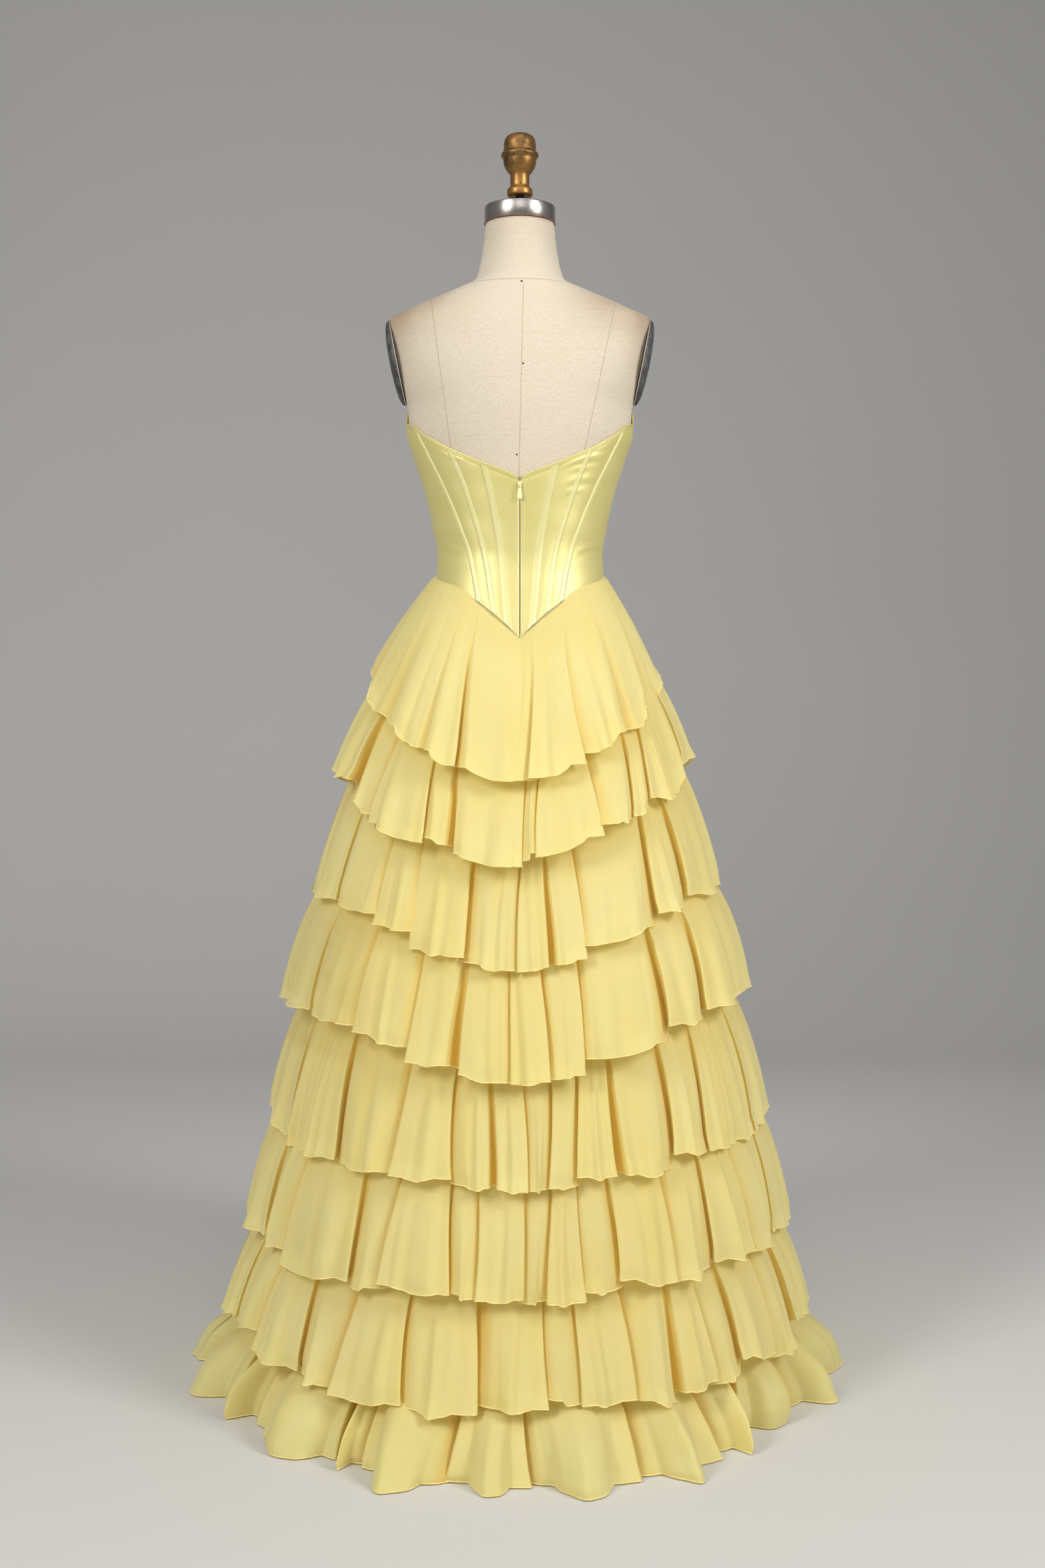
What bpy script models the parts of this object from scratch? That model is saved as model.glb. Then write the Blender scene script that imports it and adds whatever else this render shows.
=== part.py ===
"""A tiered chiffon prom gown on a limbless dress form that stands on a plain round base.

Lengths are in metres, z is up and the floor is z = 0. The gown's back, with its zip, faces -Y.
An angle is in degrees round the form from the centre back: 0 is the back, 90 the side at +X and
180 the centre front. An oval that a height gives has one half axis to the sides and one to the back.
"""

import math
from collections import namedtuple

import bmesh
import bpy
import numpy as np

MM = 0.001

# Gaps and walls
SEAM_GAP = 0.3 * MM
SATIN_THICKNESS = 1.6 * MM
CHIFFON_THICKNESS = 1.4 * MM
FORM_CLEARANCE = 1.5 * MM
TIER_CLEARANCE = 1.0 * MM

# Dress form: half width, depth behind the axis and depth before it, from the hip to the neck
FormSection = namedtuple("FormSection", "height half_width back front")
FORM_SECTIONS = (
    FormSection(0.800, 0.150, 0.106, 0.098),
    FormSection(0.812, 0.158, 0.113, 0.104),
    FormSection(0.870, 0.165, 0.121, 0.108),
    FormSection(0.980, 0.156, 0.120, 0.106),
    FormSection(1.045, 0.1425, 0.109, 0.101),
    FormSection(1.100, 0.1265, 0.097, 0.094),
    FormSection(1.146, 0.1165, 0.0885, 0.089),
    FormSection(1.168, 0.1155, 0.087, 0.090),
    FormSection(1.207, 0.1215, 0.089, 0.097),
    FormSection(1.256, 0.1325, 0.094, 0.108),
    FormSection(1.307, 0.1485, 0.100, 0.119),
    FormSection(1.344, 0.1590, 0.1035, 0.123),
    FormSection(1.375, 0.1600, 0.105, 0.120),
    FormSection(1.410, 0.1740, 0.103, 0.112),
    FormSection(1.450, 0.1860, 0.098, 0.102),
    FormSection(1.490, 0.1920, 0.089, 0.088),
    FormSection(1.506, 0.1850, 0.083, 0.080),
    FormSection(1.518, 0.1600, 0.078, 0.074),
    FormSection(1.532, 0.1280, 0.073, 0.069),
    FormSection(1.546, 0.0930, 0.067, 0.064),
    FormSection(1.560, 0.0640, 0.061, 0.059),
    FormSection(1.600, 0.0535, 0.054, 0.053),
    FormSection(1.640, 0.0490, 0.049, 0.049),
)
FORM_COLUMNS = 28
HOLLOW_OF_FORM = (1.09, 1.21)
NECK_TOP = FORM_SECTIONS[-1].height
FORM_BASE = FORM_SECTIONS[0].height

# Arm plates, set in a flat on each shoulder
PLATE_X = 0.1740
PLATE_HEIGHT = 1.444
PLATE_TILT = math.radians(11)
PLATE_HALF_HEIGHT = 0.061
PLATE_HALF_DEPTH = 0.046
PLATE_THICKNESS = 5 * MM
PLATE_FLAT_BASE = 1.375

# Neck cap, stem and finial: a turned profile of radius and height
CAP_RADIUS = 0.0505
CAP_HEIGHT = 0.0240
CAP_EDGE = 1.2 * MM
STEM_RADIUS = 6.8 * MM
STEM_HEIGHT = 15 * MM
Turned = namedtuple("Turned", "radius rise")
FINIAL_PROFILE = (
    Turned(0.0165, 0.000),
    Turned(0.0180, 0.002),
    Turned(0.0180, 0.009),
    Turned(0.0150, 0.012),
    Turned(0.0138, 0.015),
    Turned(0.0138, 0.030),
    Turned(0.0190, 0.036),
    Turned(0.0235, 0.046),
    Turned(0.0245, 0.054),
    Turned(0.0266, 0.056),
    Turned(0.0266, 0.060),
    Turned(0.0230, 0.062),
    Turned(0.0228, 0.074),
    Turned(0.0195, 0.083),
    Turned(0.0110, 0.0875),
)
TURNED_SIDES = 18

# Stand
BASE_RADIUS = 0.200
BASE_THICKNESS = 12 * MM
BASE_EDGE = 3 * MM
POLE_RADIUS = 12.5 * MM

# Waist seam: a V at the centre back and front
WAIST_SIDE = 1.149
WAIST_DROP = 0.104
WAIST_SPREAD = 38.0

# Top edge of the bodice: heights round one half
TopEdge = namedtuple("TopEdge", "angle height")
TOP_EDGE = (
    TopEdge(0, 1.271),
    TopEdge(12, 1.282),
    TopEdge(22, 1.292),
    TopEdge(40, 1.312),
    TopEdge(53, 1.329),
    TopEdge(70, 1.350),
    TopEdge(90, 1.360),
    TopEdge(120, 1.369),
    TopEdge(150, 1.3665),
    TopEdge(180, 1.360),
)
BINDING_HEIGHT = 3.4 * MM
BINDING_DEPTH = 3.0 * MM
BINDING_STEP = 6.0
BINDING_CLEARANCE = 0.5 * MM

# Seams of the bodice: an angle low and high on each, which is straight in between
SeamLine = namedtuple("SeamLine", "name low_height low_angle high_height high_angle")
CENTRE_BACK = SeamLine("centre_back", 1.05, 0.0, 1.27, 0.0)
INNER_SEAM = SeamLine("inner", 1.06, 6.5, 1.29, 20.5)
MIDDLE_SEAM = SeamLine("middle", 1.08, 15.3, 1.31, 40.6)
OUTER_SEAM = SeamLine("outer", 1.098, 26.0, 1.355, 67.0)
SIDE_SEAM = SeamLine("side", 1.15, 90.0, 1.36, 90.0)
FRONT_SEAM = SeamLine("front", 1.11, 158.0, 1.37, 146.0)
CHANNEL_SEAMS = (INNER_SEAM, MIDDLE_SEAM, OUTER_SEAM)
PANEL_ROWS = 8
FRONT_ROWS = 10
CHANNEL_WIDTH = 8.4 * MM
CHANNEL_THICKNESS = 0.9 * MM
CHANNEL_CLEARANCE = 0.45 * MM
CHANNEL_END = 1.5 * MM

# Zip
ZIP_HALF_SLOT = 2.0 * MM
CHAIN_HALF_WIDTH = 1.6 * MM
CHAIN_THICKNESS = 1.2 * MM
CHAIN_TOP = 1.2665
CHAIN_END_SHARE = 0.34
CHAIN_RISE = 1.9 * MM
SLIDER_HEIGHT = 1.2590
SLIDER_SIZE = (5.8 * MM, 1.8 * MM, 8.6 * MM)
SLIDER_CLEARANCE = 1.0 * MM
BRIDGE_WIDTH = 1.6 * MM
BRIDGE_STRAP = 0.9 * MM
BRIDGE_CAVITY = 2.4 * MM
BRIDGE_HALF_OPENING = 2.6 * MM
PULL_AXIS_OFF = 1.4 * MM
PULL_THICKNESS = 1.0 * MM
PULL_BAR = 1.0 * MM
PULL_LENGTH = 20.5 * MM
PULL_WINDOW = 4.6 * MM
PULL_WINDOW_HALF = 1.2 * MM
PULL_NECK_HALF = 2.1 * MM
PULL_DROP_RADIUS = 3.3 * MM
PULL_DROP_START = 165
PULL_DROP_TURN = 210
PULL_DROP_STEPS = 8

# Foundation skirt: half axes to the side and to the back at each height
SkirtSection = namedtuple("SkirtSection", "height side back")
SKIRT_SECTIONS = (
    SkirtSection(0.030, 0.362, 0.362),
    SkirtSection(0.122, 0.353, 0.353),
    SkirtSection(0.250, 0.336, 0.334),
    SkirtSection(0.400, 0.312, 0.307),
    SkirtSection(0.540, 0.288, 0.278),
    SkirtSection(0.660, 0.264, 0.248),
    SkirtSection(0.776, 0.239, 0.217),
    SkirtSection(0.894, 0.211, 0.182),
    SkirtSection(0.960, 0.191, 0.158),
    SkirtSection(1.038, 0.164, 0.122),
    SkirtSection(1.100, 0.137, 0.106),
    SkirtSection(1.160, 0.1225, 0.094),
)
SKIRT_BLEND = 0.060
SKIRT_COLUMNS = 14
SKIRT_TOP_DROP = 1.2 * MM
SKIRT_SEAM = 0.03

# Tiers: the hem's height and half axes at the sides and the centre back, how the hem rises between
# them, how the wall swells below its seam, and the folds of the plain front
Tier = namedtuple("Tier", "name side_height back_height side back rise swell front_folds front_depth")
TIERS = (
    Tier("tier_1", 1.003, 0.860, 0.211, 0.240, 1.6, 1.00, 7, 9),
    Tier("tier_2", 0.871, 0.743, 0.265, 0.272, 1.1, 0.88, 8, 20),
    Tier("tier_3", 0.693, 0.610, 0.292, 0.300, 0.8, 0.88, 8, 20),
    Tier("tier_4", 0.543, 0.474, 0.339, 0.340, 0.8, 0.88, 8, 22),
    Tier("tier_5", 0.390, 0.340, 0.356, 0.360, 1.4, 0.88, 9, 21),
    Tier("tier_6", 0.222, 0.205, 0.388, 0.390, 1.3, 0.88, 9, 22),
    Tier("tier_7", 0.087, 0.087, 0.420, 0.420, 1.0, 0.88, 9, 24),
    Tier("tier_8", 0.000, 0.000, 0.469, 0.472, 1.0, 1.00, 9, 30),
)
TIER_LAP = 0.035
WALL_SHARES = (0.0, 0.5, 1.0)
FLOUNCE_SHARES = (0.0, 0.38, 0.70, 1.0)
FOLD_GROWTH = 0.8
FLOOR_FOLD_SHARE = 0.62
FLOOR_CLEARANCE = 0.2 * MM

# Last tier: how far out and how high the wall is at each share of its length, and its ridges
FloorRow = namedtuple("FloorRow", "share reach height ridge")
FLOOR_ROWS = (
    FloorRow(0.00, 0.00, 0.122, 0.000),
    FloorRow(0.34, 0.26, 0.068, 0.000),
    FloorRow(0.62, 0.50, 0.022, 0.008),
    FloorRow(0.82, 0.76, 0.0045, 0.010),
    FloorRow(1.00, 1.00, 0.0018, 0.003),
)

# Folds of the back: where each valley is, its depth in mm, to which side it leans (1 is +X), and how
# far the lobe that follows it reaches past the even hem, in mm
Fold = namedtuple("Fold", "angle depth lean drop")
BACK_FOLDS = {
    "tier_1": (
        Fold(-80, 13, 1, -4), Fold(-58, 10, 1, 4), Fold(-37, 12, -1, -4), Fold(-27, 13, 1, 4),
        Fold(-15, 11, -1, 2), Fold(0, 8, 0, 2), Fold(16, 14, 1, -2), Fold(28, 12, -1, -6),
        Fold(45, 14, 1, -4), Fold(62, 13, -1, 2), Fold(79, 12, 1, -4),
    ),
    "tier_2": (
        Fold(-79, 18, 1, -8), Fold(-63, 20, -1, -6), Fold(-50, 22, 1, 2), Fold(-30, 18, -1, -4),
        Fold(-21, 26, 1, 4), Fold(0, 20, -1, 2), Fold(6, 18, 1, -2), Fold(25, 24, -1, -6),
        Fold(41, 18, 1, -4), Fold(50, 20, 1, -8), Fold(60, 20, -1, -10), Fold(77, 18, 1, -8),
    ),
    "tier_3": (
        Fold(-80, 14, 1, -4), Fold(-61, 12, -1, 0), Fold(-40, 20, 1, 2), Fold(-29, 16, 1, 8),
        Fold(-16, 24, -1, 4), Fold(0.6, 20, 1, 3), Fold(9, 20, 1, 3), Fold(17, 22, -1, -5),
        Fold(43, 24, 1, -8), Fold(57, 20, 1, -12), Fold(76, 16, -1, -4),
    ),
    "tier_4": (
        Fold(-80, 13, 1, 0), Fold(-60, 11, -1, 6), Fold(-39, 25, 1, -6), Fold(-25, 20, 1, 6),
        Fold(-15, 24, -1, 5), Fold(-1, 18, 1, 2), Fold(6, 22, -1, 2), Fold(14, 26, -1, -4),
        Fold(39, 26, 1, -5), Fold(52, 22, 1, -14), Fold(73, 16, -1, -2),
    ),
    "tier_5": (
        Fold(-79, 14, 1, -2), Fold(-66, 14, -1, 0), Fold(-56, 16, 1, 6), Fold(-45, 24, -1, 0),
        Fold(-27, 24, 1, -3), Fold(-16, 22, -1, 2), Fold(-5.5, 22, 1, 3), Fold(1, 14, -1, 3),
        Fold(7, 20, 1, -6), Fold(13, 18, 1, -4), Fold(22, 24, -1, -2), Fold(37, 24, 1, -6),
        Fold(47, 18, 1, -8), Fold(56, 16, -1, -10), Fold(69, 16, 1, -6),
    ),
    "tier_6": (
        Fold(-80, 16, 1, -8), Fold(-66, 16, -1, -4), Fold(-54, 20, 1, 8), Fold(-36, 22, -1, -2),
        Fold(-27, 20, 1, -3), Fold(-14, 22, -1, 0), Fold(-7.5, 18, 1, -2), Fold(0, 14, -1, 2),
        Fold(6, 20, 1, -4), Fold(12, 20, -1, -8), Fold(21, 22, 1, -16), Fold(31, 20, -1, -6),
        Fold(44, 22, 1, -10), Fold(55, 18, -1, -8), Fold(69, 16, 1, -10),
    ),
    "tier_7": (
        Fold(-82, 18, 1, -16), Fold(-70, 16, -1, -18), Fold(-57, 18, 1, 2), Fold(-45, 20, -1, 8),
        Fold(-34, 26, 1, 6), Fold(-22, 20, -1, 10), Fold(-9, 30, 1, 2), Fold(4, 22, -1, -2),
        Fold(12, 18, 1, 0), Fold(20, 22, -1, 6), Fold(30, 26, 1, -2), Fold(38, 18, -1, 0),
        Fold(46, 20, 1, -4), Fold(56, 22, -1, 2), Fold(68, 16, 1, -10), Fold(80, 14, -1, -8),
    ),
    "tier_8": (
        Fold(-82, 40, 1, 10), Fold(-66, 44, -1, -6), Fold(-50, 30, 1, 8), Fold(-36, 38, -1, -4),
        Fold(-27, 28, 1, 4), Fold(-11, 34, -1, 2), Fold(1, 20, 1, -4), Fold(18, 30, -1, 2),
        Fold(28, 24, 1, 4), Fold(37, 36, -1, -6), Fold(46, 40, 1, -2), Fold(60, 30, -1, 8),
        Fold(76, 30, 1, 14),
    ),
}
# Where the wall is read across each lobe, as shares of its width
WIDE_SAMPLES = (0.0, 0.15, 0.38, 0.62, 0.85)
FEW_SAMPLES = (0.0, 0.18, 0.50, 0.82)
NARROW_LOBE = 13.5
LOBE_FLATNESS = 4
LEAN_REACH = 0.30
SAMPLE_GAP = 1.2

# Colours in linear light, roughness and metallic
Finish = namedtuple("Finish", "colour roughness metallic")
FINISHES = {
    "satin": Finish((0.72, 0.65, 0.20), 0.36, 0.0),
    "chiffon": Finish((0.86, 0.78, 0.30), 0.75, 0.0),
    "linen": Finish((0.82, 0.73, 0.60), 0.85, 0.0),
    "steel": Finish((0.55, 0.55, 0.56), 0.30, 1.0),
    "bronze": Finish((0.22, 0.13, 0.05), 0.42, 0.6),
    "dark_metal": Finish((0.07, 0.07, 0.075), 0.55, 0.5),
    "stand": Finish((0.10, 0.10, 0.105), 0.45, 0.6),
    "zip_metal": Finish((0.70, 0.66, 0.38), 0.35, 0.8),
}


class Curve:
    """Smooth curves through a table's rows that never pass a row's value, read by the first column."""

    def __init__(self, rows):
        table = np.array(sorted(tuple(row) for row in rows), float)
        self.at_x = table[:, 0]
        self.values = table[:, 1:]
        step = np.diff(self.at_x)[:, None]
        slope = np.diff(self.values, axis=0) / step
        product = slope[:-1] * slope[1:]
        total = slope[:-1] + slope[1:]
        middle = np.where(product > 0, 2 * product / np.where(total == 0, 1, total), 0)
        self.slopes = np.vstack([slope[:1], middle, slope[-1:]])

    def at(self, x):
        x = min(max(x, self.at_x[0]), self.at_x[-1])
        i = min(int(np.searchsorted(self.at_x, x, side="right")) - 1, len(self.at_x) - 2)
        width = self.at_x[i + 1] - self.at_x[i]
        t = (x - self.at_x[i]) / width
        return (
            self.values[i] * (1 + 2 * t) * (1 - t) ** 2
            + self.values[i + 1] * t * t * (3 - 2 * t)
            + self.slopes[i] * width * t * (1 - t) ** 2
            - self.slopes[i + 1] * width * t * t * (1 - t)
        )


FORM = Curve(FORM_SECTIONS)
SKIRT = Curve(SKIRT_SECTIONS)
TOP = Curve(TOP_EDGE)
FLOOR = Curve([(row.share, row.reach, row.height, row.ridge) for row in FLOOR_ROWS])


def folded(angle):
    """How far an angle is from the centre back or the centre front, whichever is nearer."""
    turned = abs((angle + 180) % 360 - 180)
    return min(turned, 180 - turned)


def oval(angle, height, side, back):
    """A point on a level oval."""
    turn = math.radians(angle)
    return np.array((side * math.sin(turn), -back * math.cos(turn), height))


def unit(vector):
    return vector / np.linalg.norm(vector)


# Dress form

def form_point(angle, height):
    """A point on the smooth form, before the arm plates are let in."""
    half_width, back, front = FORM.at(height)
    behind = math.cos(math.radians(angle)) > 0
    return oval(angle, height, half_width, back if behind else front)


def form_normal(angle, height):
    round_it = form_point(angle + 0.5, height) - form_point(angle - 0.5, height)
    up_it = form_point(angle, height + MM) - form_point(angle, height - MM)
    return unit(np.cross(round_it, up_it))


def off_form(angle, height, distance):
    return form_point(angle, height) + form_normal(angle, height) * distance


def plate_plane(height):
    return PLATE_X + (height - PLATE_HEIGHT) * math.tan(PLATE_TILT)


def with_plate_flats(point):
    """The form's point, held back to the arm plate's plane between the bust and the shoulder."""
    if point[2] < PLATE_FLAT_BASE:
        return point
    reach = plate_plane(point[2])
    return np.array((max(-reach, min(reach, point[0])), point[1], point[2]))


# Meshes

def make_object(name, vertices, faces, finish, smooth_angle=35):
    mesh = bpy.data.meshes.new(name)
    mesh.from_pydata([tuple(v) for v in vertices], [], [tuple(f) for f in faces])
    mesh.validate()
    bm = bmesh.new()
    bm.from_mesh(mesh)
    bmesh.ops.recalc_face_normals(bm, faces=bm.faces)
    bm.to_mesh(mesh)
    bm.free()
    mesh.shade_smooth()
    mesh.set_sharp_from_angle(angle=math.radians(smooth_angle))
    mesh.materials.append(materials[finish])
    thing = bpy.data.objects.new(name, mesh)
    bpy.context.scene.collection.objects.link(thing)
    return thing


def make_material(name, finish):
    material = bpy.data.materials.new(name)
    material.use_nodes = True
    shader = material.node_tree.nodes["Principled BSDF"]
    shader.inputs["Base Color"].default_value = (*finish.colour, 1.0)
    shader.inputs["Roughness"].default_value = finish.roughness
    shader.inputs["Metallic"].default_value = finish.metallic
    return material


def stacked_rings(rings):
    """A closed skin through rings of equal length, with a flat cap at each end."""
    count = len(rings[0])
    vertices = [point for ring in rings for point in ring]
    faces = [tuple(reversed(range(count)))]
    for row in range(len(rings) - 1):
        for i in range(count):
            j = (i + 1) % count
            low = row * count
            faces.append((low + i, low + j, low + count + j, low + count + i))
    last = (len(rings) - 1) * count
    faces.append(tuple(range(last, last + count)))
    return vertices, faces


def wall(outer, inner):
    """A closed sheet between two grids of points, grid[column][row], split alike on both faces."""
    columns, rows = len(outer), len(outer[0])
    vertices = [p for column in outer for p in column] + [p for column in inner for p in column]
    back = columns * rows

    def at(i, j):
        return i * rows + j

    faces = []
    for i in range(columns - 1):
        for j in range(rows - 1):
            falling = np.linalg.norm(outer[i][j] - outer[i + 1][j + 1])
            rising = np.linalg.norm(outer[i + 1][j] - outer[i][j + 1])
            a, b, c, d = at(i, j), at(i + 1, j), at(i + 1, j + 1), at(i, j + 1)
            halves = ((a, b, c), (a, c, d)) if falling < rising else ((a, b, d), (b, c, d))
            for half in halves:
                faces.append(half)
                faces.append(tuple(back + k for k in reversed(half)))
    for i in range(columns - 1):
        for j in (0, rows - 1):
            faces.append((at(i, j), at(i + 1, j), back + at(i + 1, j), back + at(i, j)))
    for j in range(rows - 1):
        for i in (0, columns - 1):
            faces.append((at(i, j), at(i, j + 1), back + at(i, j + 1), back + at(i, j)))
    return vertices, faces


def grid_normals(grid):
    """Outward normals at the points of a grid whose columns run to +X over the back and rows go down."""
    points = np.array(grid)
    across = np.gradient(points, axis=0)
    along = np.gradient(points, axis=1)
    normals = np.cross(along, across)
    return normals / np.linalg.norm(normals, axis=2, keepdims=True)


def inner_face(outer, start, end):
    """The inner points of a chiffon wall whose first and last columns end at seams."""
    offset = grid_normals(outer) * CHIFFON_THICKNESS
    for column, angle in ((0, start), (-1, end)):
        turn = math.radians(angle)
        over_seam = np.array((math.cos(turn), math.sin(turn), 0.0))
        offset[column] -= np.outer(offset[column] @ over_seam, over_seam)
    return np.array(outer) - offset


def sweep(path, across, out, half_width, low, high):
    """A strip along a path, from low to high along its outward vectors and half_width to each side."""
    rings = []
    for point, side, away in zip(path, across, out):
        rings.append([
            point + side * half_width + away * low,
            point + side * half_width + away * high,
            point - side * half_width + away * high,
            point - side * half_width + away * low,
        ])
    return stacked_rings(rings)


def turned(profile, base, sides=TURNED_SIDES):
    """A solid turned about the z axis from rows of radius and rise."""
    rings = []
    for row in profile:
        ring = []
        for i in range(sides):
            ring.append(oval(360 * i / sides, base + row.rise, row.radius, row.radius))
        rings.append(ring)
    return stacked_rings(rings)


def build_form():
    heights = []
    for low, high in zip(FORM_SECTIONS, FORM_SECTIONS[1:]):
        heights.append(low.height)
        if HOLLOW_OF_FORM[0] < low.height < HOLLOW_OF_FORM[1]:
            heights.append((low.height + high.height) / 2)
    heights.append(NECK_TOP)
    rings = []
    for height in heights:
        ring = []
        for i in range(FORM_COLUMNS):
            ring.append(with_plate_flats(form_point(360 * i / FORM_COLUMNS, height)))
        rings.append(ring)
    make_object("torso", *stacked_rings(rings), "linen")


def build_plate(name, side):
    """An oval plate on the flat at one shoulder, with a chamfered outer edge."""
    centre = np.array((side * (PLATE_X + SEAM_GAP), 0.0, PLATE_HEIGHT))
    out = np.array((side * math.cos(PLATE_TILT), 0.0, -math.sin(PLATE_TILT)))
    up = np.array((side * math.sin(PLATE_TILT), 0.0, math.cos(PLATE_TILT)))
    rings = []
    for scale, rise in ((1.0, 0.0), (1.0, 0.6), (0.93, 1.0)):
        ring = []
        for i in range(TURNED_SIDES):
            turn = side * math.tau * i / TURNED_SIDES
            depth = PLATE_HALF_DEPTH * scale * math.cos(turn)
            height = PLATE_HALF_HEIGHT * scale * math.sin(turn)
            ring.append(centre + out * rise * PLATE_THICKNESS + up * height + np.array((0, depth, 0)))
        rings.append(ring)
    make_object(name, *stacked_rings(rings), "dark_metal")


def build_head_and_stand():
    cap = (
        Turned(CAP_RADIUS - CAP_EDGE, 0.0),
        Turned(CAP_RADIUS, CAP_EDGE),
        Turned(CAP_RADIUS, CAP_HEIGHT - CAP_EDGE),
        Turned(CAP_RADIUS - CAP_EDGE, CAP_HEIGHT),
    )
    cap_base = NECK_TOP + SEAM_GAP
    stem_base = cap_base + CAP_HEIGHT + SEAM_GAP
    finial_base = stem_base + STEM_HEIGHT + SEAM_GAP
    stem = (Turned(STEM_RADIUS, 0.0), Turned(STEM_RADIUS, STEM_HEIGHT))
    make_object("neck_cap", *turned(cap, cap_base, 28), "steel")
    make_object("finial_stem", *turned(stem, stem_base, 16), "dark_metal")
    make_object("finial", *turned(FINIAL_PROFILE, finial_base), "bronze")
    base = (
        Turned(BASE_RADIUS, 0.0),
        Turned(BASE_RADIUS, BASE_THICKNESS - BASE_EDGE),
        Turned(BASE_RADIUS - BASE_EDGE, BASE_THICKNESS),
    )
    pole_base = BASE_THICKNESS + SEAM_GAP
    pole = (Turned(POLE_RADIUS, 0.0), Turned(POLE_RADIUS, FORM_BASE - SEAM_GAP - pole_base))
    make_object("stand_base", *turned(base, 0.0, 32), "stand")
    make_object("stand_pole", *turned(pole, pole_base, 16), "stand")


# Bodice

def waist_height(angle):
    return WAIST_SIDE - WAIST_DROP * math.exp(-folded(angle) / WAIST_SPREAD)


def top_height(angle):
    return TOP.at(abs((angle + 180) % 360 - 180))[0]


def seam_angle(line, height):
    share = (height - line.low_height) / (line.high_height - line.low_height)
    return line.low_angle + (line.high_angle - line.low_angle) * share


def meeting_height(angle_at, edge_at, start):
    """The height at which a line round the form meets an edge, by repeated trial."""
    height = start
    for _ in range(40):
        height = edge_at(angle_at(height))
    return height


def bodice_top(angle):
    return top_height(angle) - BINDING_HEIGHT


def bodice_bottom(angle):
    return waist_height(angle) + SEAM_GAP


def build_patch(name, side, angle_at, columns, low, high, end_gap=0.0, rows=PANEL_ROWS):
    """A shaped layer on the form, low to high off it, from the binding to the waist seam."""
    outer, inner = [], []
    for i in range(columns + 1):
        share = i / columns
        bottom = meeting_height(lambda h: angle_at(share, h), bodice_bottom, 1.10) + end_gap
        top = meeting_height(lambda h: angle_at(share, h), bodice_top, 1.30) - end_gap
        heights = [top + (bottom - top) * j / rows for j in range(rows + 1)]
        places = [(side * angle_at(share, h), h) for h in heights]
        inner.append([off_form(a, h, low) for a, h in places])
        outer.append([off_form(a, h, high) for a, h in places])
    make_object(name, *wall(outer, inner), "satin")


def build_panel(name, side, first, last, columns, half_gaps, rows=PANEL_ROWS):
    """A satin panel from one seam line to the next, on one side of the form."""
    def angle_at(share, height):
        left, right = seam_angle(first, height), seam_angle(last, height)
        radius = np.hypot(*form_point((left + right) / 2, height)[:2])
        left += math.degrees(half_gaps[0] / radius)
        right -= math.degrees(half_gaps[1] / radius)
        return left + (right - left) * share

    outside = FORM_CLEARANCE + SATIN_THICKNESS
    build_patch(name, side, angle_at, columns, FORM_CLEARANCE, outside, rows=rows)


def build_channel(name, side, line):
    """A raised tape over a seam, from just below the binding to just above the waist."""
    def angle_at(share, height):
        middle = seam_angle(line, height)
        radius = np.hypot(*form_point(middle, height)[:2])
        return middle + math.degrees((share - 0.5) * CHANNEL_WIDTH / radius)

    low = FORM_CLEARANCE + SATIN_THICKNESS + CHANNEL_CLEARANCE
    build_patch(name, side, angle_at, 1, low, low + CHANNEL_THICKNESS, CHANNEL_END)


def build_binding(name, start, end):
    """The piped top edge between two angles."""
    count = max(2, round(abs(end - start) / BINDING_STEP))
    rings = []
    for i in range(count + 1):
        angle = start + (end - start) * i / count
        height = bodice_top(angle) + BINDING_CLEARANCE
        inside = off_form(angle, height, FORM_CLEARANCE)
        outside = off_form(angle, height, FORM_CLEARANCE + BINDING_DEPTH)
        up = np.array((0.0, 0.0, BINDING_HEIGHT - BINDING_CLEARANCE))
        rings.append([inside + up, outside + up, outside, inside])
    make_object(name, *stacked_rings(rings), "satin", smooth_angle=60)


def build_bodice():
    seams = (CENTRE_BACK, *CHANNEL_SEAMS, SIDE_SEAM)
    names = ("centre", "inner", "middle", "side")
    columns = (2, 3, 3, 8)
    half = SEAM_GAP / 2
    near_zip = math.degrees(ZIP_HALF_SLOT / FORM.at(top_height(0))[1])
    near_side = 90 - math.degrees(half / FORM.at(top_height(90))[0])
    for word, side in (("right", 1), ("left", -1)):
        for i, part in enumerate(names):
            gaps = (ZIP_HALF_SLOT if i == 0 else half, half)
            build_panel(f"bodice_back_{part}_{word}", side, seams[i], seams[i + 1], columns[i], gaps)
        build_panel(f"bodice_front_side_{word}", side, SIDE_SEAM, FRONT_SEAM, 7, (half, half), FRONT_ROWS)
        for line in CHANNEL_SEAMS:
            build_channel(f"boning_{line.name}_{word}", side, line)
        build_binding(f"binding_back_{word}", side * near_zip, side * near_side)
    other_front = SeamLine("front_left", 1.11, 202.0, 1.37, 214.0)
    build_panel("bodice_front_centre", 1, FRONT_SEAM, other_front, 8, (half, half), FRONT_ROWS)
    build_binding("binding_front", 180 - near_side, 180 + near_side)


# Skirt and tiers

def skirt_axes(angle, height):
    """Half axes of the foundation's outer face: on the form at the waist, and free lower down."""
    half_width, back, front = FORM.at(height)
    depth = back if math.cos(math.radians(angle)) > 0 else front
    close = FORM_CLEARANCE + CHIFFON_THICKNESS
    side_free, back_free = SKIRT.at(height)
    share = min(max((waist_height(angle) - height) / SKIRT_BLEND, 0.0), 1.0)
    share = share * share * (3 - 2 * share)
    side = (half_width + close) * (1 - share) + side_free * share
    back = (depth + close) * (1 - share) + back_free * share
    return side, back


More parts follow.
